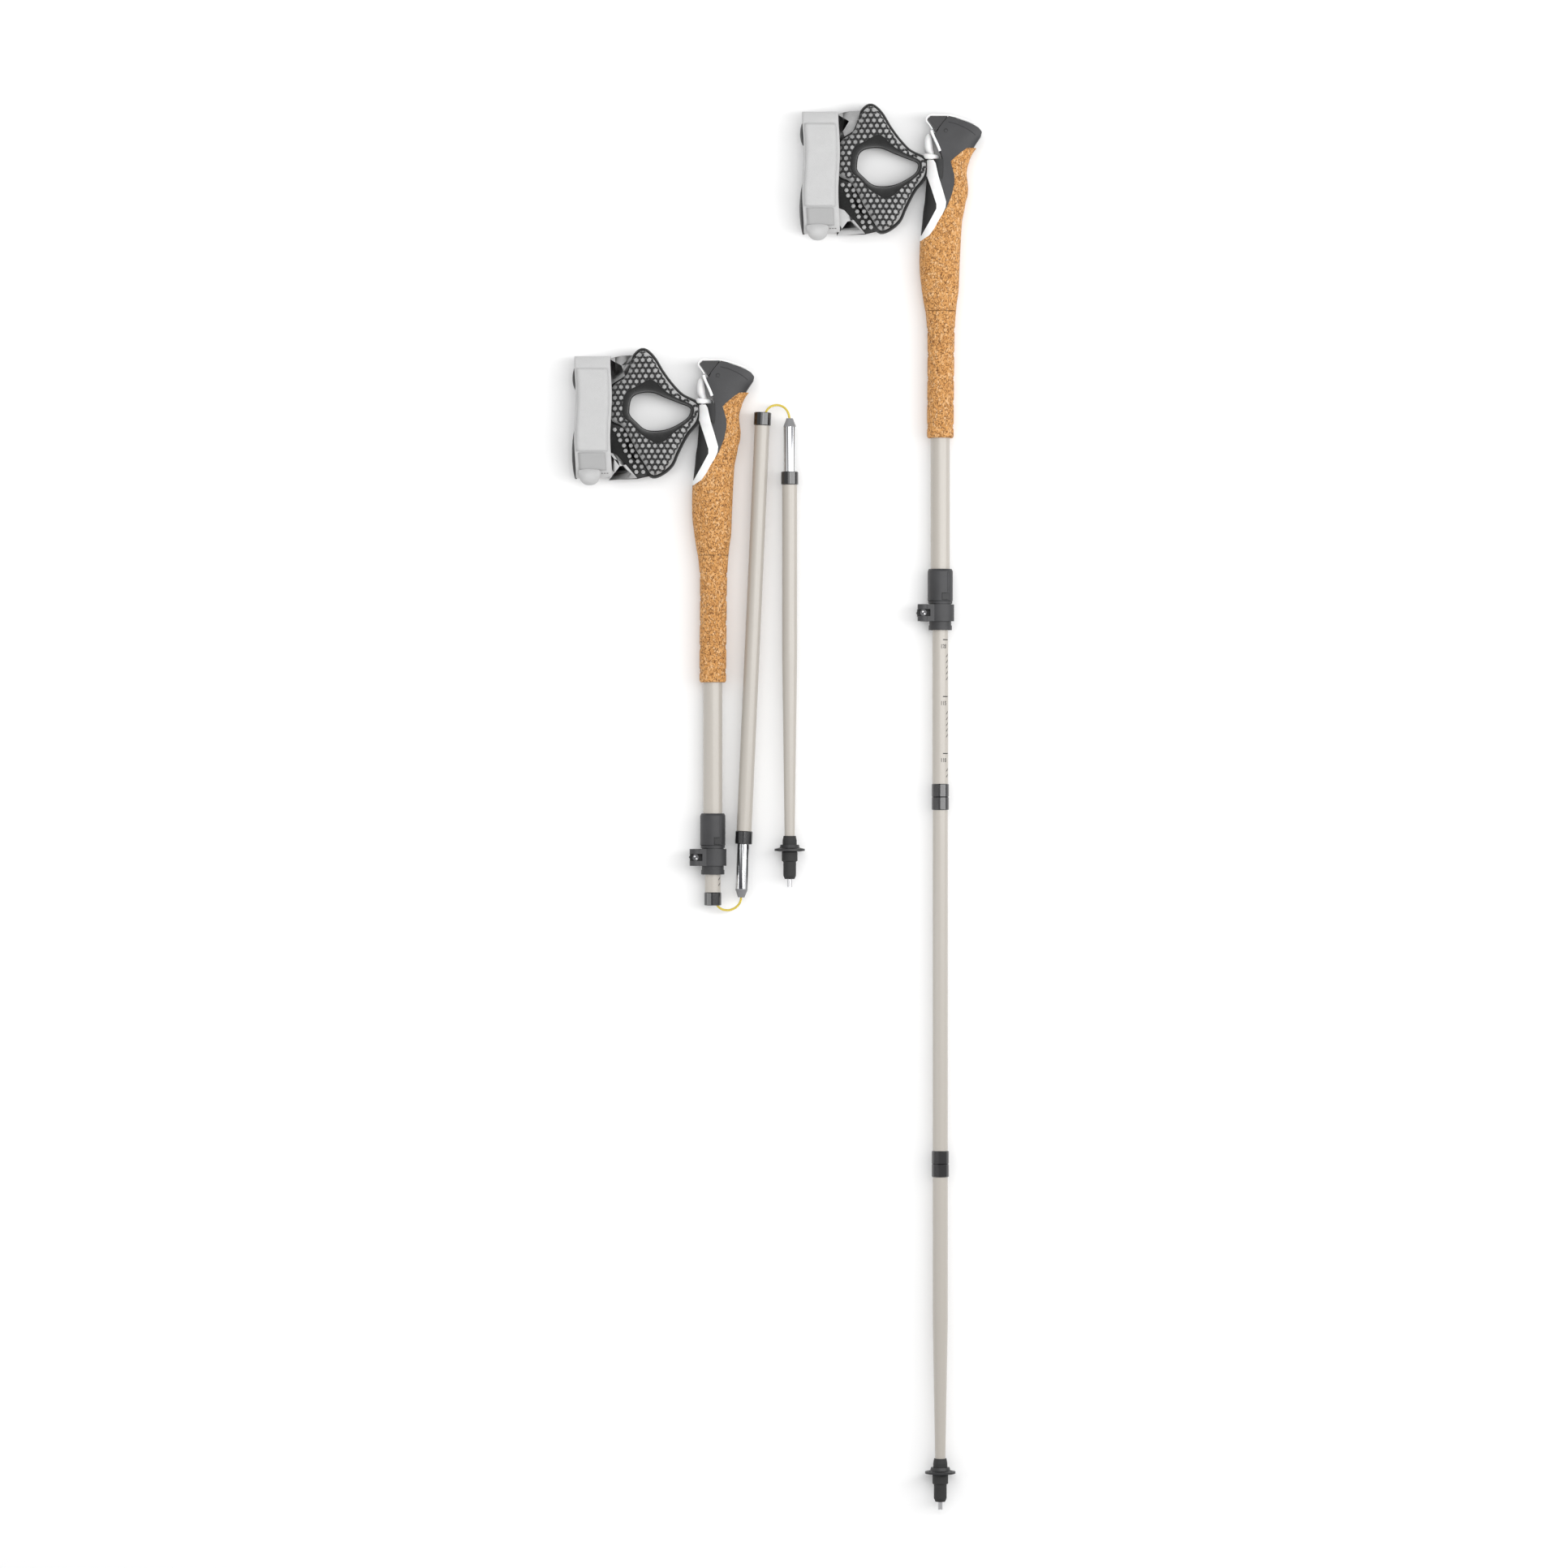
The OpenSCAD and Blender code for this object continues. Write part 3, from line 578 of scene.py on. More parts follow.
HEAD_TOP = [(7, 0.4), (12.5, 1.6), (17.3, 3.3), (24, 5.6), (29.2, 7.9), (33.4, 10.4),
            (36.2, 13.8), (35.4, 17.6), (32, 22.6)]


def grip_section(d):
    """Front x, back x and thickness at d, on a smooth curve through the GRIP rows."""
    k = max(i for i in range(len(GRIP) - 1) if GRIP[i][0] <= d + 1e-6)
    a, b, c, e = (Vector(GRIP[min(max(k + j, 0), len(GRIP) - 1)][1:]) for j in (-1, 0, 1, 2))
    t = (d - GRIP[k][0]) / (GRIP[k + 1][0] - GRIP[k][0])
    return 0.5 * (2 * b + (c - a) * t + (2 * a - 5 * b + 4 * c - e) * t * t
                  + (3 * b - a - 3 * c + e) * t ** 3)


def groove(d, angle):
    """Depth of the moulded zigzag on the extension, in mm."""
    if not SEAM + 4 < d < CORK_END - 3:
        return 0.0
    around = angle * 12.0
    pitch = 21.0
    deep = 0.0
    for sign in (1, -1):
        place = (d + sign * abs((around + 19) % 38 - 19) * 1.0 + (0 if sign > 0 else 4)) % pitch
        off = min(place, pitch - place)
        deep = max(deep, 1.0 * math.exp(-(off / 1.5) ** 2))
    edge = min(1.0, (d - SEAM - 4) / 4, (CORK_END - 3 - d) / 4)
    return deep * edge


def grip_mesh(pole, start, stop, step, proud=0.0, sides=112):
    rings = []
    count = max(2, round((stop - start) / step) + 1)
    for i in range(count):
        d = start + (stop - start) * i / (count - 1)
        front, back, thick = grip_section(d)
        ends = 0.0
        if d > CORK_END - 2.0:
            ends = (d - CORK_END + 2.0) ** 2 * 0.22
        mid, half, rise = (front + back) / 2, (back - front) / 2 + proud - ends, \
            thick / 2 + proud - ends
        ring = []
        for k in range(sides):
            t = 2 * math.pi * (k + 0.5) / sides
            c, s = math.cos(t), math.sin(t)
            sink = groove(d, t)
            ring.append(pole.at((
                mid + (half - sink) * math.copysign(abs(c) ** (2 / ROUNDNESS), c), d,
                (rise - sink) * math.copysign(abs(s) ** (2 / ROUNDNESS), s))))
        rings.append(ring)
    return closed_mesh(*skin_rings(rings))


def grip_piece(pole, part, cad, finish, mesh, outline, bevel=0.35):
    tools = [("INTERSECT", prism_mesh(pole, outline)), ("DIFFERENCE", bore_mesh(pole))]
    piece = combine("%s_%s" % (pole.name, part), mesh, tools, finish)
    soften(piece, bevel)
    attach(piece, pole.upper)
    for name in cad:
        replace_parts(piece, "%s_%s" % (pole.name, name))
    return piece


def soften(piece, width, angle=38, segments=2):
    bevel = piece.modifiers.new("soft_edges", "BEVEL")
    bevel.width = width * MM
    bevel.segments = segments
    bevel.limit_method = "ANGLE"
    bevel.angle_limit = math.radians(angle)
    bevel.use_clamp_overlap = True
    bevel.harden_normals = False


def build_grip(pole):
    far, half_seam = 60, 0.15
    cork = [(28.6, CORK_TOP + 0.1)] + CORK_EDGE[1:] + HOOK_TAIL[1:] + [
        (-far, 112.5), (-far, SEAM - half_seam), (far, SEAM - half_seam), (far, CORK_TOP + 0.1)]
    grip_piece(pole, "cork_body", ["cork_grip"], "cork",
               grip_mesh(pole, 26, SEAM - half_seam, 1.6), cork, 0.5)
    end = [(far, SEAM + half_seam), (-far, SEAM + half_seam), (-far, CORK_END), (far, CORK_END)]
    grip_piece(pole, "cork_tail", ["cork_extension"], "cork",
               grip_mesh(pole, SEAM - 2, CORK_END + 0.01, 1.0), end, 0.4)
    head = HEAD_TOP + CORK_EDGE + BAND_EDGE + [
        (1.2, 56), (2.3, 52.5), (2.5, 45), (2.3, 38.6), (0.3, 31.7), (-4.7, 19.7), (-5.6, 15.2),
        (-3.0, 14.4), (-1.2, 10.4), (2.6, 5.4)]
    grip_piece(pole, "head_shell", ["grip_head"], "dark_plastic",
               grip_mesh(pole, -1.5, 86, 1.6, 0.35), head, 0.7)
    hook = [(-40, 38.5), (-6.2, 38.5), (-4.4, 41.4), (-1.7, 53.5), (1.7, 64.5), (4.8, 75.5)] \
        + HOOK_TAIL + CORE[-2:-1] + CORE[-3::-1] + [(-14.8, 52.5), (-14.8, 52.0), (-40, 52.0)]
    grip_piece(pole, "hook_band", ["hook_frame"], "white_plastic",
               grip_mesh(pole, 30, 116, 1.6, 0.3), hook, 0.6)
    grip_piece(pole, "core_insert", ["grip_core"], "black_rubber",
               grip_mesh(pole, 48, 108, 1.6, -0.35),
               [(-11.9, 52.7), (-7.8, 65), (-3.9, 77.5), (-3.9, 81.2), (-10, 92.8),
                (-16.6, 104.2), (-40, 104.2), (-40, 52.7)], 0.3)
    pocket = [(-8, 37.5), (2.6, 37.5), (2.9, 45), (2.6, 52.6), (1.6, 56), (-2.2, 54.4),
              (-4.7, 44), (-11, 54), (-11, 44)]
    grip_piece(pole, "pocket_floor", [], "black_plastic",
               grip_mesh(pole, 34, 62, 2.0, -1.6), pocket, 0.2)
    build_horn(pole)
    build_trim(pole)
    build_head_marks(pole)


def build_horn(pole):
    """Finger that carries the strap loop, with a flat back against the head."""
    path = [pole.at(p) for p in spline([
        (-9.6, 14.4, 0), (-9.7, 16.2, 0), (-9.9, 20, 0), (-10, 24, 0), (-9.5, 28.2, 0),
        (-8.2, 31.4, 0), (-7.8, 35, 0), (-7.8, 39.5, 0), (-7.8, 44, 0)], 32)]

    def size(t):
        grow = math.sqrt(1 - (1 - min(t / 0.24, 1)) ** 2)
        thin = min(1.0, max(0.0, (t - 0.42) / 0.16))
        return (0.4 + 3.0 * grow + 0.8 * min(t / 0.4, 1) - 1.1 * thin) * MM, \
            (0.6 + 5.0 * grow - 1.3 * thin) * MM

    horn = tube_piece(pole.name + "_horn", path, size, "white_plastic", 28)
    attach(horn, pole.upper)
    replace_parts(horn, pole.name + "_hook_frame")
    ring = []
    for k in range(56):
        t = 2 * math.pi * k / 56
        ring.append(pole.at((-7.8 + 6.3 * math.cos(t), 35.4 + 0.6 * math.cos(t),
                             6.9 * math.sin(t))))
    loop = tube_piece(pole.name + "_strap_ring", ring, (1.1 * MM, 2.3 * MM), "white_plastic", 16,
                      closed=True, up=(0, 1, 0))
    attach(loop, pole.strap)


def grip_surface(x, d, proud=0.0):
    front, back, thick = grip_section(d)
    mid, half = (front + back) / 2, (back - front) / 2 + proud
    u = min(abs((x - mid) / half), 0.999)
    return (thick / 2 + proud) * (1 - u ** ROUNDNESS) ** (1 / ROUNDNESS)


def build_head_marks(pole):
    """Crease below the head's upper strip, and the dimple over the trigger's pin."""
    line = [pole.at((p[0], p[1], grip_surface(p[0], p[1], 0.35) - 0.15)) for p in spline(
        [(6.6, 5.6, 0), (12.5, 7.0, 0), (19, 9.6, 0), (25.6, 13.2, 0), (30.6, 17.0, 0)], 24)]
    crease = tube_piece(pole.name + "_head_crease", line, (0.35 * MM, 0.3 * MM),
                        "black_plastic", 8)
    z = grip_surface(4.6, 13.2, 0.35)
    rings = [[pole.at((4.6 + r * math.cos(t), 13.2 + r * math.sin(t), z + h))
              for t in (2 * math.pi * k / 28 for k in range(28))]
             for r, h in ((1.9, -0.6), (1.9, 0.12), (1.5, 0.2), (1.2, -0.1), (0.3, -0.25))]
    verts, faces = skin_rings(rings)
    dimple = new_piece(pole.name + "_pin_dimple", verts, faces, "black_plastic")
    for piece in (crease, dimple):
        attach(piece, pole.upper)


def build_trim(pole):
    """White strips along the head's front edge and over its top."""
    front = spline([(-7.9, 12.9, 0), (-6.9, 16, 0), (-5.1, 19.9, 0), (-2.4, 25.8, 0),
                    (-0.4, 31.0, 0)], 24)
    over = spline([(-7.2, 11.8, 0), (-9.6, 8.0, 0), (-12.4, 3.6, 0), (-9.4, -0.5, 0),
                   (-1, -0.5, 0), (6.4, -0.4, 0), (12.5, 0.9, 0), (17.6, 2.3, 0),
                   (24.2, 4.6, 0), (29.4, 6.9, 0)], 60)
    for name, line, wide in (("front_trim", front, 1.35), ("top_trim", over, 0.7)):
        path = [pole.at((p[0], p[1], max(grip_surface(p[0], max(p[1], 3.0), 0.35) - 0.6, 9.6)))
                for p in line]
        piece = tube_piece(pole.name + "_" + name, path, (wide * MM, 1.1 * MM), "white_plastic",
                           12)
        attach(piece, pole.upper)


# ---------------------------------------------------------------- shafts, lock, plugs, tip

HARD = ("lock_sleeve", "release_button", "clamp_ring", "lock_lever", "lever_bolt", "tension_dial",
        "trigger", "trigger_pivot", "socket_collar", "mid_collars", "lower_collar",
        "tip_holder", "basket", "carbide_tip")


def soften_cad():
    for pole in POLES:
        for name in HARD:
            soften(frame["nodes"]["%s_%s" % (pole, name)], 0.35, 40, 3)


def build_nose(name, body, foot, lean):
    """Grey nose cone over the end of a plug; foot is where the plug starts, lean its turn."""
    centre = Vector((*foot, AXIS_H)) * MM
    turn = math.radians(lean)
    axis = Vector((-math.sin(turn), math.cos(turn), 0))
    side = Vector((axis.y, -axis.x, 0))
    rings = []
    for r, y in ((2.2, 46.6), (2.9, 46.6), (3.7, 44.3), (4.7, 41.6), (5.1, 40.7), (PLUG_R + 0.02, 39.9),
                 (PLUG_R + 0.02, 39.2), (5.2, 39.0)):
        rings.append([centre + axis * (y * MM) + (side * math.cos(t) + Vector((0, 0, 1))
                      * math.sin(t)) * (r * MM)
                      for t in (2 * math.pi * k / 48 for k in range(48))])
    verts, faces = skin_rings(rings, False)
    piece = new_piece(name, verts, faces, "nose_grey", 30)
    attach(piece, body)


def build_prints(pole):
    """Scale marks and numbers printed round the telescoping shaft."""
    radius = INNER_R + 0.03
    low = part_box(pole.name + "_inner_shaft")[0]
    shift = pole.top - 1000 * low[1] - INNER_MOUTH

    def wrap(u, d):
        t = u / radius
        return pole.at((radius * math.sin(t), d + shift, radius * math.cos(t)))

    def patch(name, quads):
        verts, faces = [], []
        for corners in quads:
            k = len(verts)
            verts += [wrap(u, d) for u, d in corners]
            faces.append(tuple(range(k, k + len(corners))))
        piece = new_piece(name, verts, faces, "print")
        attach(piece, pole.name + "_inner")

    marks, ticks = [], (457.0, 506.7, 556.5)
    for d in ticks:
        for k in range(6):
            a, b = 2.2 + k * 1.0, 3.2 + k * 1.0
            marks.append([(a, d), (b, d), (b, d + 0.9), (a, d + 0.9)])
    for first in (472.0, 522.0, 572.0):
        for k in range(5):
            d = first + k * 5.0
            if d < 581 and not any(abs(d - m - 6) < 7 for m in ticks):
                for j in range(3):
                    a, b = 5.6 + j * 0.9, 6.5 + j * 0.9
                    marks.append([(a, d - j * 0.8), (b, d - 0.8 - j * 0.8),
                                  (b, d + 0.3 - j * 0.8), (a, d + 1.1 - j * 0.8)])
    patch(pole.name + "_scale_marks", marks)
    for text, d in (("120", 463.5), ("115", 513.2), ("110", 563.0)):
        curve = bpy.data.curves.new("scale", "FONT")
        curve.body = text
        curve.size = 5.2
        curve.offset = 0.09
        curve.resolution_u = 3
        holder = bpy.data.objects.new("scale", curve)
        bpy.context.scene.collection.objects.link(holder)
        mesh = bpy.data.meshes.new_from_object(
            holder.evaluated_get(bpy.context.evaluated_depsgraph_get()))
        bpy.data.objects.remove(holder)
        bm = bmesh.new()
        bm.from_mesh(mesh)
        bmesh.ops.triangulate(bm, faces=bm.faces)
        for v in bm.verts:
            v.co = wrap(v.co.x * 0.74, d + 1.4 - v.co.y * 0.95)
        bm.to_mesh(mesh)
        bm.free()
        piece = dress("%s_scale_%s" % (pole.name, text), mesh, "print")
        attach(piece, pole.name + "_inner")


def build_lock_details(pole):
    """Bright screw ends on the lever, and the sleeve's edge line."""
    for k, (x, d) in enumerate(((-15.6, 433.2), (-14.0, 435.2))):
        rings = [[pole.at((x + r * math.cos(t), d + r * math.sin(t), z))
                  for t in (2 * math.pi * j / 20 for j in range(20))]
                 for r, z in ((1.0, 14.4), (1.0, 15.4), (0.6, 15.75), (0.15, 15.8))]
        verts, faces = skin_rings(rings)
        piece = new_piece("%s_screw_end_%d" % (pole.name, k), verts, faces, "steel")
        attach(piece, pole.name + "_lever")
    radius, angle = SLEEVE_R + 0.05, 0.62
    line = [pole.at((radius * math.sin(angle), d, radius * math.cos(angle)))
            for d in (398.5, 403, 407, 411, 415.4)]
    piece = tube_piece(pole.name + "_sleeve_seam", line, (0.35 * MM, 0.25 * MM), "dark_plastic", 8)
    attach(piece, pole.upper)


EXTENDED, FOLDED = Pole("extended"), Pole("folded")
build_cords()
for pole in (EXTENDED, FOLDED):
    build_grip(pole)
    build_prints(pole)
    build_lock_details(pole)
soften_cad()
build_nose("folded_lower_nose", "folded_lower", FOLD_LOWER_FOOT, 0)
build_nose("folded_mid_nose", "folded_mid", FOLD_MID_FOOT, 180 - FOLD_LEAN)


# ---------------------------------------------------------------- strap

OUTER = [(-60, -9.6), (-52.2, -2.9), (-44.4, 9.9), (-35.9, 21.3), (-26.7, 30.5), (-14.6, 36.6),
         (-11.6, 41.9), (-13.6, 52.6), (-23.1, 64.6), (-30.9, 79.5), (-36.4, 91.6), (-45.8, 99.4),
         (-53.6, 100.6), (-60, 90.9), (-67.1, 78.8), (-72.8, 67.4), (-79.9, 57.2), (-88.6, 52.6),
         (-90.2, 44), (-89.8, 30), (-87.2, 21.3), (-76.4, 12.8), (-71.4, 1.4), (-66.2, -7.0)]
HOLE = [(-65, 27.7), (-52.2, 27), (-39.4, 31.9), (-28.1, 36.2), (-18.9, 40.5), (-19.6, 48.3),
        (-26.7, 54.7), (-39.4, 61), (-52.2, 62.5), (-60.5, 60.6), (-67.5, 54.6), (-73, 48.8),
        (-74.2, 43.3), (-72.1, 32.7)]
HOLE_AT = (-46, 44.6)
FABRIC = 2.0


def outline_by_angle(points, count):
    """Point of a closed outline at each of count equal angles round the hole's middle."""
    dense = [Vector((p[0], p[1])) for p in spline([(x, d, 0) for x, d in points], 720, True)]
    turn = [math.atan2(p.y - HOLE_AT[1], p.x - HOLE_AT[0]) for p in dense]
    out = []
    for k in range(count):
        want = -math.pi + 2 * math.pi * (k + 0.5) / count
        near = sorted(range(len(dense)),
                      key=lambda i: abs(math.remainder(turn[i] - want, 2 * math.pi)))[:2]
        out.append((dense[near[0]] + dense[near[1]]) / 2)
    return out


def glove_half(x):
    """Half of the glove's thickness at x, mm."""
    rows = [(-92, 12.6), (-77, 14.2), (-60, 15.6), (-43, 15.2), (-36, 14.4), (-27, 12.6),
            (-20, 9.4), (-14, 6.2), (-10, 5.2)]
    for (xa, ha), (xb, hb) in zip(rows, rows[1:]):
        if x <= xb:
            return ha + (hb - ha) * max(0.0, (x - xa)) / (xb - xa)
    return rows[-1][1]


def glove_z(x, t, side):
    """Height over the shaft's axis: t runs from the hole's edge to the outer seam."""
    half = glove_half(x)
    middle = max(0.0, half + 0.5 - AXIS_H)
    crown = (1 - abs(2 * min(max(t, 0), 1) - 1) ** 2.6) ** 0.6
    hem = 0.5 * (1 - t) ** 2
    return middle + side * half * max(0.06, 0.42 * hem + 0.97 * crown * (0.62 + 0.38 * t ** 0.4))


def cloth(side, x, d, t):
    wrinkle = 0.55 * math.sin(0.21 * x + 0.34 * d) + 0.35 * math.sin(0.47 * x - 0.29 * d + 1.7)
    return glove_z(x, t, side) - side * abs(wrinkle) * math.sin(math.pi * min(max(t, 0), 1))


def build_glove(pole):
    count, steps = 208, 26
    outer, hole = outline_by_angle(OUTER, count), outline_by_angle(HOLE, count)

    def grid(start, stop, rows, side, lift=0.0):
        rings = []
        for j in range(rows):
            t = start + (stop - start) * j / (rows - 1)
            ring = []
            for a, b in zip(hole, outer):
                p = a.lerp(b, t)
                ring.append(pole.at((p.x, p.y, cloth(side, p.x, p.y, t) + side * lift)))
            rings.append(ring)
        return skin_rings(rings, False)

    pieces = []
    for side, tag in ((1, "top"), (-1, "under")):
        verts, faces = grid(0, 1, steps, side)
        lining = new_piece("%s_glove_%s" % (pole.name, tag), verts, faces, "lining", 60)
        thick = lining.modifiers.new("cloth", "SOLIDIFY")
        thick.thickness, thick.offset = 1.0 * MM, -1
        area = sum(p.area for p in lining.data.polygons)
        edges = []
        verts, faces = grid(0.0, 0.27, 8, side, 0.8)
        hem = new_piece("%s_hole_edge_%s" % (pole.name, tag), verts, faces, "edge_fabric", 60)
        fold = hem.modifiers.new("cloth", "SOLIDIFY")
        fold.thickness, fold.offset = 1.4 * MM, 0
        edges.append(hem)
        edges.append(hex_net(pole, tag, side, hole, outer))
        for piece in [lining] + edges:
            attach(piece, pole.strap)
        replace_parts(lining, pole.name + "_strap_glove")
        pieces.append((lining, edges, area))
    extras = pieces[0][1]
    for t, wide, tag in ((1.0, 2.3, "seam_piping"), (0.0, 1.4, "hole_piping")):
        ring = []
        for a, b in zip(hole, outer):
            p = a.lerp(b, t * 0.985)
            middle = (cloth(1, p.x, p.y, t) + cloth(-1, p.x, p.y, t)) / 2
            ring.append(pole.at((p.x, p.y, middle if t else cloth(1, p.x, p.y, 0))))
        tall = 4.6 if t else 1.5
        piece = tube_piece("%s_%s" % (pole.name, tag), ring, (wide * MM, tall * MM),
                           "edge_fabric", 14, closed=True)
        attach(piece, pole.strap)
        extras.append(piece)
    wall = []
    for side in (1, 0, -1):
        wall.append([pole.at((p.x, p.y, (cloth(1, p.x, p.y, 0) * (1 + side)
                                         + cloth(-1, p.x, p.y, 0) * (1 - side)) / 2))
                     for p in hole])
    verts, faces = skin_rings(wall, False)
    inside = new_piece(pole.name + "_hole_wall", verts, faces, "edge_fabric", 60)
    lined = inside.modifiers.new("cloth", "SOLIDIFY")
    lined.thickness, lined.offset = 1.2 * MM, 0
    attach(inside, pole.strap)
    extras.append(inside)
    build_band(pole)


def hex_net(pole, tag, side, hole, outer):
    """Open net of hexagons stitched over the lining."""
    pitch, width = 5.4, 1.0
    count = len(hole)
    links = set()
    high = pitch / math.sqrt(3)
    for i in range(-2, 22):
        for j in range(-2, 30):
            cx = -96 + pitch * (i + 0.5 * (j % 2))
            cy = -14 + high * 1.5 * j
            corner = [(round(cx + high * math.sin(math.pi / 3 * k), 2),
                       round(cy + high * math.cos(math.pi / 3 * k), 2)) for k in range(6)]
            for k in range(6):
                links.add(tuple(sorted((corner[k], corner[(k + 1) % 6]))))

    def place(x, d):
        turn = math.atan2(d - HOLE_AT[1], x - HOLE_AT[0])
        k = (turn + math.pi) / (2 * math.pi) * count - 0.5
        a, b = int(math.floor(k)) % count, (int(math.floor(k)) + 1) % count
        part = k - math.floor(k)
        inner, rim = hole[a].lerp(hole[b], part), outer[a].lerp(outer[b], part)
        span = (rim - inner).length
        mid = Vector(HOLE_AT)
        return ((Vector((x, d)) - mid).length - (inner - mid).length) / max(span, 1e-6)

    verts, faces = [], []
    for (xa, da), (xb, db) in sorted(links):
        ends = [place(xa, da), place(xb, db)]
        if min(ends) < 0.14 or max(ends) > 0.985:
            continue
        along = Vector((xb - xa, db - da)).normalized()
        off = Vector((-along.y, along.x)) * width
        first = len(verts)
        for part in (0.0, 0.5, 1.0):
            x, d = xa + (xb - xa) * part, da + (db - da) * part
            t = ends[0] + (ends[1] - ends[0]) * part
            z = cloth(side, x, d, t) + side * 0.55
            verts.append(pole.at((x + off.x, d + off.y, z)))
            verts.append(pole.at((x - off.x, d - off.y, z)))
        faces += [(first, first + 1, first + 3, first + 2),
                  (first + 2, first + 3, first + 5, first + 4)]
    piece = new_piece("%s_net_%s" % (pole.name, tag), verts, faces, "mesh_fabric", 80)
    thick = piece.modifiers.new("thread", "SOLIDIFY")
    thick.thickness, thick.offset = 0.5 * MM, 0
    return piece


def build_band(pole):
    """Wrist band: a hoop of padded webbing with its folded end, label, stitches and tab."""
    left, right = -120.2, -88.6
    middle_d, half_l, half_t = 49.3, 53.6, 15.0
    middle_z = max(0.0, half_t + 0.5 - AXIS_H)
    count, across = 200, 17

    def hoop(s, u, lift=0.0):
        """Point on the hoop: s goes round from 0 to 1, u across from 0 to 1."""
        t = 2 * math.pi * s
        c, n = math.cos(t), math.sin(t)
        swell = 1 - 0.045 * (2 * u - 1) ** 4
        d = half_l * math.copysign(abs(c) ** 0.42, c)
        z = half_t * swell * math.copysign(abs(n) ** 0.75, n)
        sag = 0.7 * math.sin(0.16 * d + 2.1 * u) + 0.45 * math.sin(0.41 * d - 3.0 * u)
        grow = 1 + lift / half_t
        x = left + (right - left) * u + 0.7 * math.sin(0.09 * d)
        return (x, middle_d - d * (1 + lift / half_l) * 0.997, middle_z + z * grow - abs(sag) * n)

    rings = [[pole.at(hoop(k / count, j / (across - 1))) for k in range(count)]
             for j in range(across)]
    verts, faces = skin_rings(rings, False)
    band = new_piece(pole.name + "_band", verts, faces, "band_fabric", 60)
    thick = band.modifiers.new("webbing", "SOLIDIFY")
    thick.thickness, thick.offset = FABRIC * MM, -1
    pieces = []

    def turn_at(d):
        c = max(-1.0, min(1.0, (middle_d - d) / (half_l * 0.997)))
        return math.acos(math.copysign(abs(c) ** (1 / 0.42), c)) / (2 * math.pi)

    def patch(tag, top_d, low_d, x0, x1, lift, finish, rows):
        grid = []
        for i in range(rows + 1):
            d = top_d + (low_d - top_d) * i / rows
            line = []
            for j in range(9):
                u = (x0 + (x1 - x0) * j / 8 - left) / (right - left)
                s = turn_at(d)
                line.append(pole.at(hoop(s, u, lift)))
            grid.append(line)
        verts = [p for line in grid for p in line]
        faces = [(i * 9 + j, i * 9 + j + 1, i * 9 + j + 10, i * 9 + j + 9)
                 for i in range(rows) for j in range(8)]
        piece = new_piece("%s_%s" % (pole.name, tag), verts, faces, finish, 60)
        thick = piece.modifiers.new("cloth", "SOLIDIFY")
        thick.thickness, thick.offset = 0.9 * MM, 0
        pieces.append(piece)

    patch("band_fold", 8, 79, -118.4, -91.4, 1.0, "band_fabric", 30)
    patch("band_label", 80.5, 95.5, -116.8, -93.4, 0.7, "label", 10)
    tab = [(-116, 96), (-99, 96), (-99, 103.6), (-101, 107), (-104.6, 108.9), (-110, 109),
           (-114, 106.6), (-116, 102.6)]
    z = middle_z + half_t - 2.2
    tab = [pole.at((p[0], p[1], z - 0.09 * (p[1] - 96))) for p in spline(
        [(x, d, 0) for x, d in tab], 48, True)]
    piece = new_piece(pole.name + "_pull_tab", tab, [tuple(range(48))], "band_fabric", 60)
    thick = piece.modifiers.new("cloth", "SOLIDIFY")
    thick.thickness, thick.offset = 1.6 * MM, 0
    pieces.append(piece)
    side_cloth(pole, pieces)
    dashes = []
    for k in range(11):
        x = -116.6 + 2.35 * k
        s = turn_at(97.4)
        a = hoop(s, (x - left) / (right - left), 1.5)
        b = hoop(s, (x + 1.4 - left) / (right - left), 1.5)
        dashes.append([pole.at(a), pole.at(b)])
    verts, faces = [], []
    for path in dashes:
        rings = sweep_rings([path[0], path[0].lerp(path[1], 0.5), path[1]],
                            (0.35 * MM, 0.3 * MM), 8)
        v, f = skin_rings(rings)
        faces += [tuple(i + len(verts) for i in face) for face in f]
        verts += v
    pieces.append(new_piece(pole.name + "_band_stitches", verts, faces, "thread"))
    for tag, start, stop, out in (("bulge_upper", 5, 25, 3.0), ("bulge_lower", 58, 103, 3.4)):
        path = [pole.at((left + 0.6 - out * 0.25 * math.sin(math.pi * k / 15),
                         start + (stop - start) * k / 15, middle_z))
                for k in range(16)]

        def size(t, out=out):
            grow = max(0.12, math.sin(math.pi * min(max(t, 0.02), 0.98)) ** 0.4)
            return out * 0.8 * grow * MM, 11.5 * grow * MM

        pieces.append(tube_piece("%s_%s" % (pole.name, tag), path, size, "mesh_fabric", 20))
    for piece in [band] + pieces:
        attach(piece, pole.strap)
    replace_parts(band, pole.name + "_wrist_band")


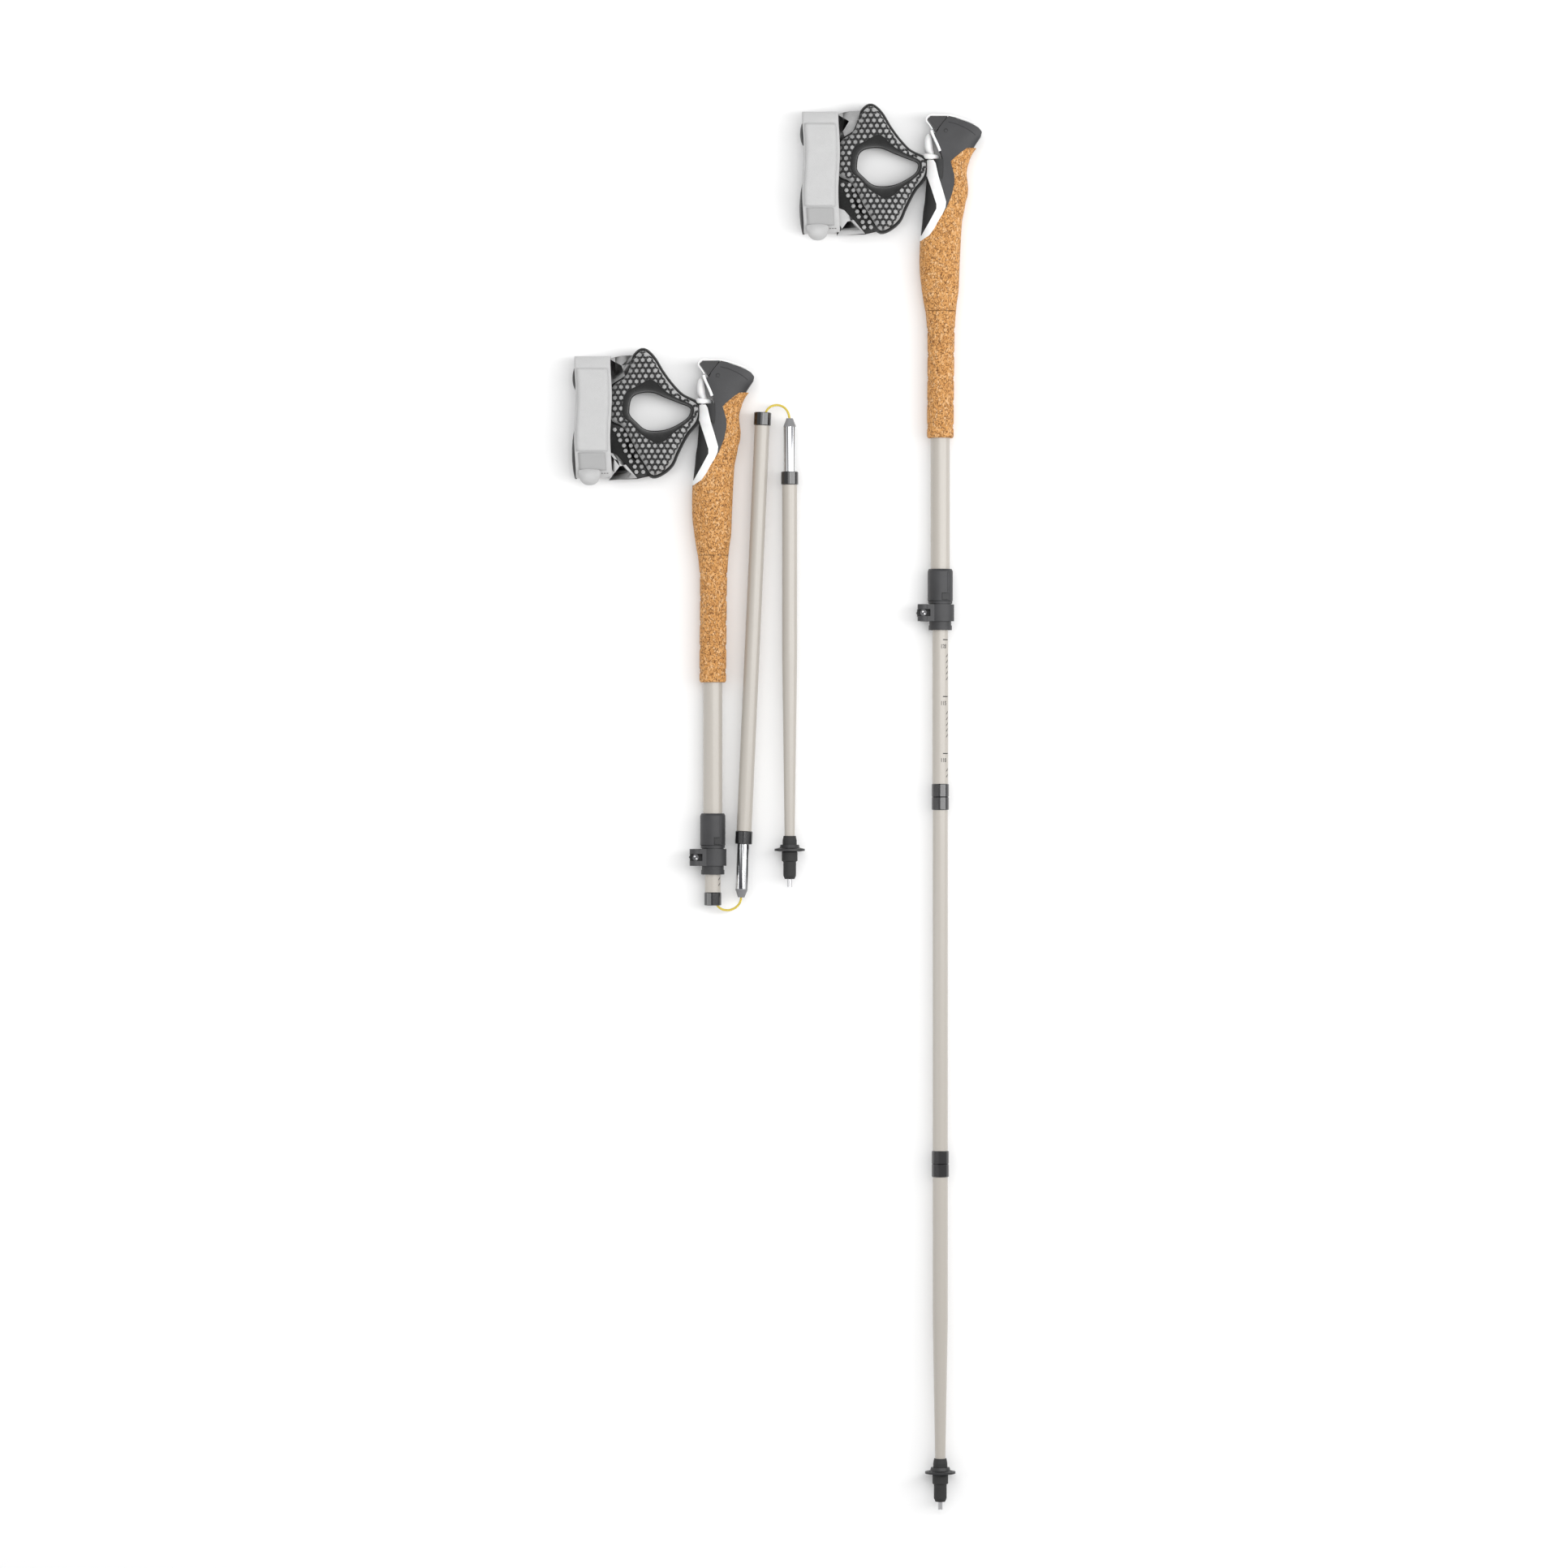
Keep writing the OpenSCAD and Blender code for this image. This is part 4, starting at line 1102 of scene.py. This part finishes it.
def side_cloth(pole, pieces):
    """Plain and netted cloth that joins the glove to the wrist band beside the piping."""
    upper = [(-90.5, -2), (-80, -4.2), (-70, -4.6), (-71.4, 2.5), (-76.4, 13.2), (-90.5, 22)]
    lower = [(-90.5, 55), (-80, 58), (-72.8, 68.5), (-67.1, 79.8), (-60, 91.9), (-53, 100.4),
             (-66, 103.4), (-90.5, 104.2)]
    grey = [(-90.5, 80), (-84, 82.5), (-76, 91), (-66, 102.6), (-90.5, 104.6)]
    for tag, outline, z, finish in (("upper_cloth", upper, 6.0, "lining"),
                                    ("lower_cloth", lower, 6.5, "edge_fabric"),
                                    ("lower_grey", grey, 7.6, "band_fabric")):
        rows = [pole.at((x, d, z + 1.2 * math.sin(0.09 * x + 0.05 * d))) for x, d in outline]
        verts, faces = [], []
        middle = sum(rows, Vector()) / len(rows)
        for k in range(len(rows)):
            a, b = rows[k], rows[(k + 1) % len(rows)]
            first = len(verts)
            verts += [a, b, middle]
            faces.append((first, first + 1, first + 2))
        piece = new_piece("%s_%s" % (pole.name, tag), verts, faces, finish, 60)
        weld = piece.modifiers.new("weld", "WELD")
        weld.merge_threshold = 0.00002
        thick = piece.modifiers.new("cloth", "SOLIDIFY")
        thick.thickness, thick.offset = 1.4 * MM, 0
        pieces.append(piece)
    verts, faces = [], []
    for row in range(9):
        for column in range(2):
            x = -85.5 + 6.0 * column + 2.35 * row + (1.0 if row % 2 else 0.0)
            d = 60.5 + 4.6 * row
            first = len(verts)
            verts += [pole.at((x + 1.9 * math.cos(math.pi / 3 * k),
                               d + 1.9 * math.sin(math.pi / 3 * k),
                               9.0 + 1.2 * math.sin(0.09 * x + 0.05 * d))) for k in range(6)]
            faces.append(tuple(range(first, first + 6)))
    cells = new_piece(pole.name + "_cloth_cells", verts, faces, "lining", 60)
    thick = cells.modifiers.new("cloth", "SOLIDIFY")
    thick.thickness, thick.offset = 1.0 * MM, 0
    pieces.append(cells)


for pole in (EXTENDED, FOLDED):
    build_glove(pole)
